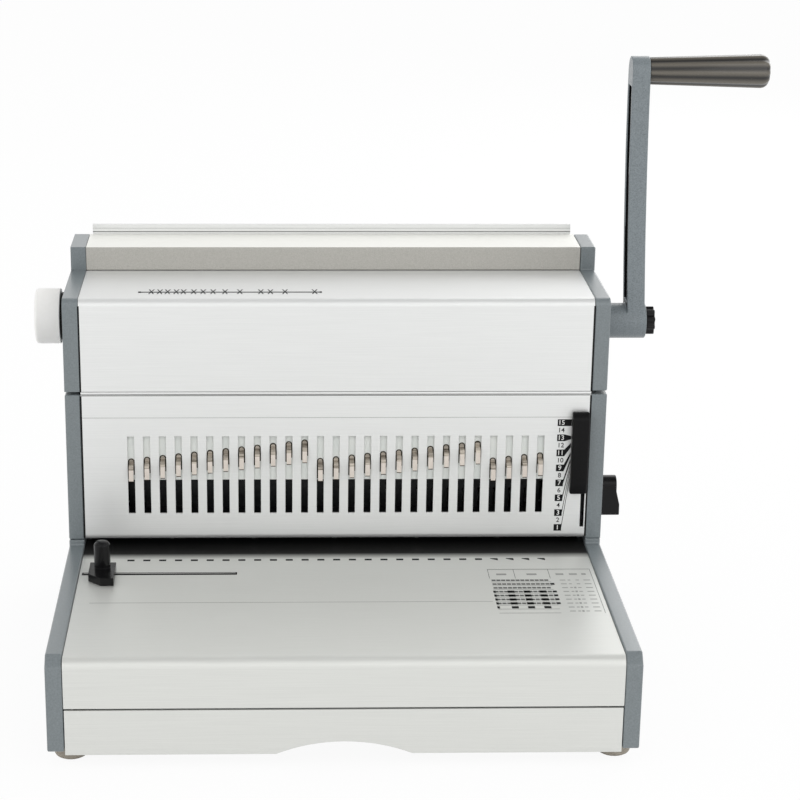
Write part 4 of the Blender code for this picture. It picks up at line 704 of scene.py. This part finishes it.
bpy.ops.object.mode_set(mode="OBJECT")
bpy.ops.object.shade_smooth_by_angle(angle=math.radians(50))
crown.data.materials.append(black_gloss)
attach(crown, "guide")
eased("edge_guide_nut", 0.3, bright_steel, "guide", segments=2)

# Studio: a white floor, an even white surround and three soft lights.
# The floor is white to the camera and in reflections, and keeps a soft contact shadow.
FLOOR_GLOW = 0.93
SURROUND_LIGHT, SURROUND_SEEN, OVERHEAD_SEEN = 0.82, 1.0, 0.5
OVERHEAD_START, OVERHEAD_FULL = 0.6, 0.9


def seen_directly(tree):
    """1 for a ray that shows the studio itself: from the camera, a reflection or clear material."""
    path = add_node(tree, "ShaderNodeLightPath")
    shown = path.outputs["Is Camera Ray"]
    for kind in ("Is Glossy Ray", "Is Transmission Ray"):
        either = add_node(tree, "ShaderNodeMath", {0: shown, 1: path.outputs[kind]}, operation="MAXIMUM")
        shown = either.outputs[0]
    return shown


bpy.ops.object.select_all(action="DESELECT")
bpy.ops.mesh.primitive_plane_add(size=40, location=(0, 6, 0))
floor = bpy.context.object
floor.name = "studio_floor"
paper = bpy.data.materials.new("white studio paper")
paper.use_nodes = True
tree = paper.node_tree
shader = tree.nodes["Principled BSDF"]
shader.inputs["Base Color"].default_value = linear("#F4F4F4")
shader.inputs["Roughness"].default_value = 0.9
share = add_node(tree, "ShaderNodeMath", {0: seen_directly(tree), 1: FLOOR_GLOW}, operation="MULTIPLY")
glow = add_node(tree, "ShaderNodeEmission", {"Color": (1, 1, 1, 1), "Strength": 1.0})
mixed = add_node(tree, "ShaderNodeMixShader", {0: share.outputs[0], 1: shader.outputs[0], 2: glow.outputs[0]})
tree.links.new(mixed.outputs[0], tree.nodes["Material Output"].inputs["Surface"])
floor.data.materials.append(paper)

world = bpy.data.worlds.new("studio surround")
bpy.context.scene.world = world
world.use_nodes = True
tree = world.node_tree
around = add_node(tree, "ShaderNodeTexCoord")
parts = add_node(tree, "ShaderNodeSeparateXYZ", {"Vector": around.outputs["Generated"]})
overhead = add_node(tree, "ShaderNodeMapRange",
                    {"Value": parts.outputs["Z"], "From Min": OVERHEAD_START, "From Max": OVERHEAD_FULL,
                     "To Min": SURROUND_SEEN, "To Max": OVERHEAD_SEEN})
level = add_node(tree, "ShaderNodeMapRange",
                 {"Value": seen_directly(tree), "To Min": SURROUND_LIGHT,
                  "To Max": overhead.outputs["Result"]})
tree.links.new(level.outputs["Result"], tree.nodes["Background"].inputs["Strength"])
tree.nodes["Background"].inputs["Color"].default_value = (1, 1, 1, 1)

# Each light's name, place, aim, side in metres and power in watts.
for name, place, aim, size, power in (
        ("key_light", (1.8, -2.1, 1.6), (-0.05, 0.0, 0.2), 3.0, 18),
        ("fill_light", (-1.8, -2.1, 1.5), (-0.05, 0.0, 0.2), 2.8, 12),
        ("rear_light", (1.5, 1.9, 1.5), (0.0, 0.0, 0.2), 2.4, 24)):
    bpy.ops.object.light_add(type="AREA", location=place)
    light = bpy.context.object
    light.name = name
    light.data.size = size
    light.data.energy = power
    light.rotation_euler = (Vector(aim) - Vector(place)).to_track_quat("-Z", "Y").to_euler()

# Camera: a long lens, above and slightly to the left of the machine's box.
# Its place and angles (radians) come from a fit to measured points.
CAMERA_PLACE = (-0.11897, -1.93396, 0.83354)
CAMERA_TURN, CAMERA_DIP, CAMERA_ROLL = -0.02884, 0.33495, 0.00639
bpy.ops.object.camera_add()
camera = bpy.context.object
camera.data.lens = 103.5
camera.data.sensor_width = 36
camera.data.shift_x = 0.09
camera.data.shift_y = 0.12
turn = (Matrix.Rotation(CAMERA_TURN, 4, "Z") @ Matrix.Rotation(math.pi / 2 - CAMERA_DIP, 4, "X")
        @ Matrix.Rotation(CAMERA_ROLL, 4, "Z"))
camera.matrix_world = Matrix.Translation(CAMERA_PLACE) @ turn
bpy.context.scene.camera = camera
bpy.context.scene.view_settings.view_transform = "Standard"
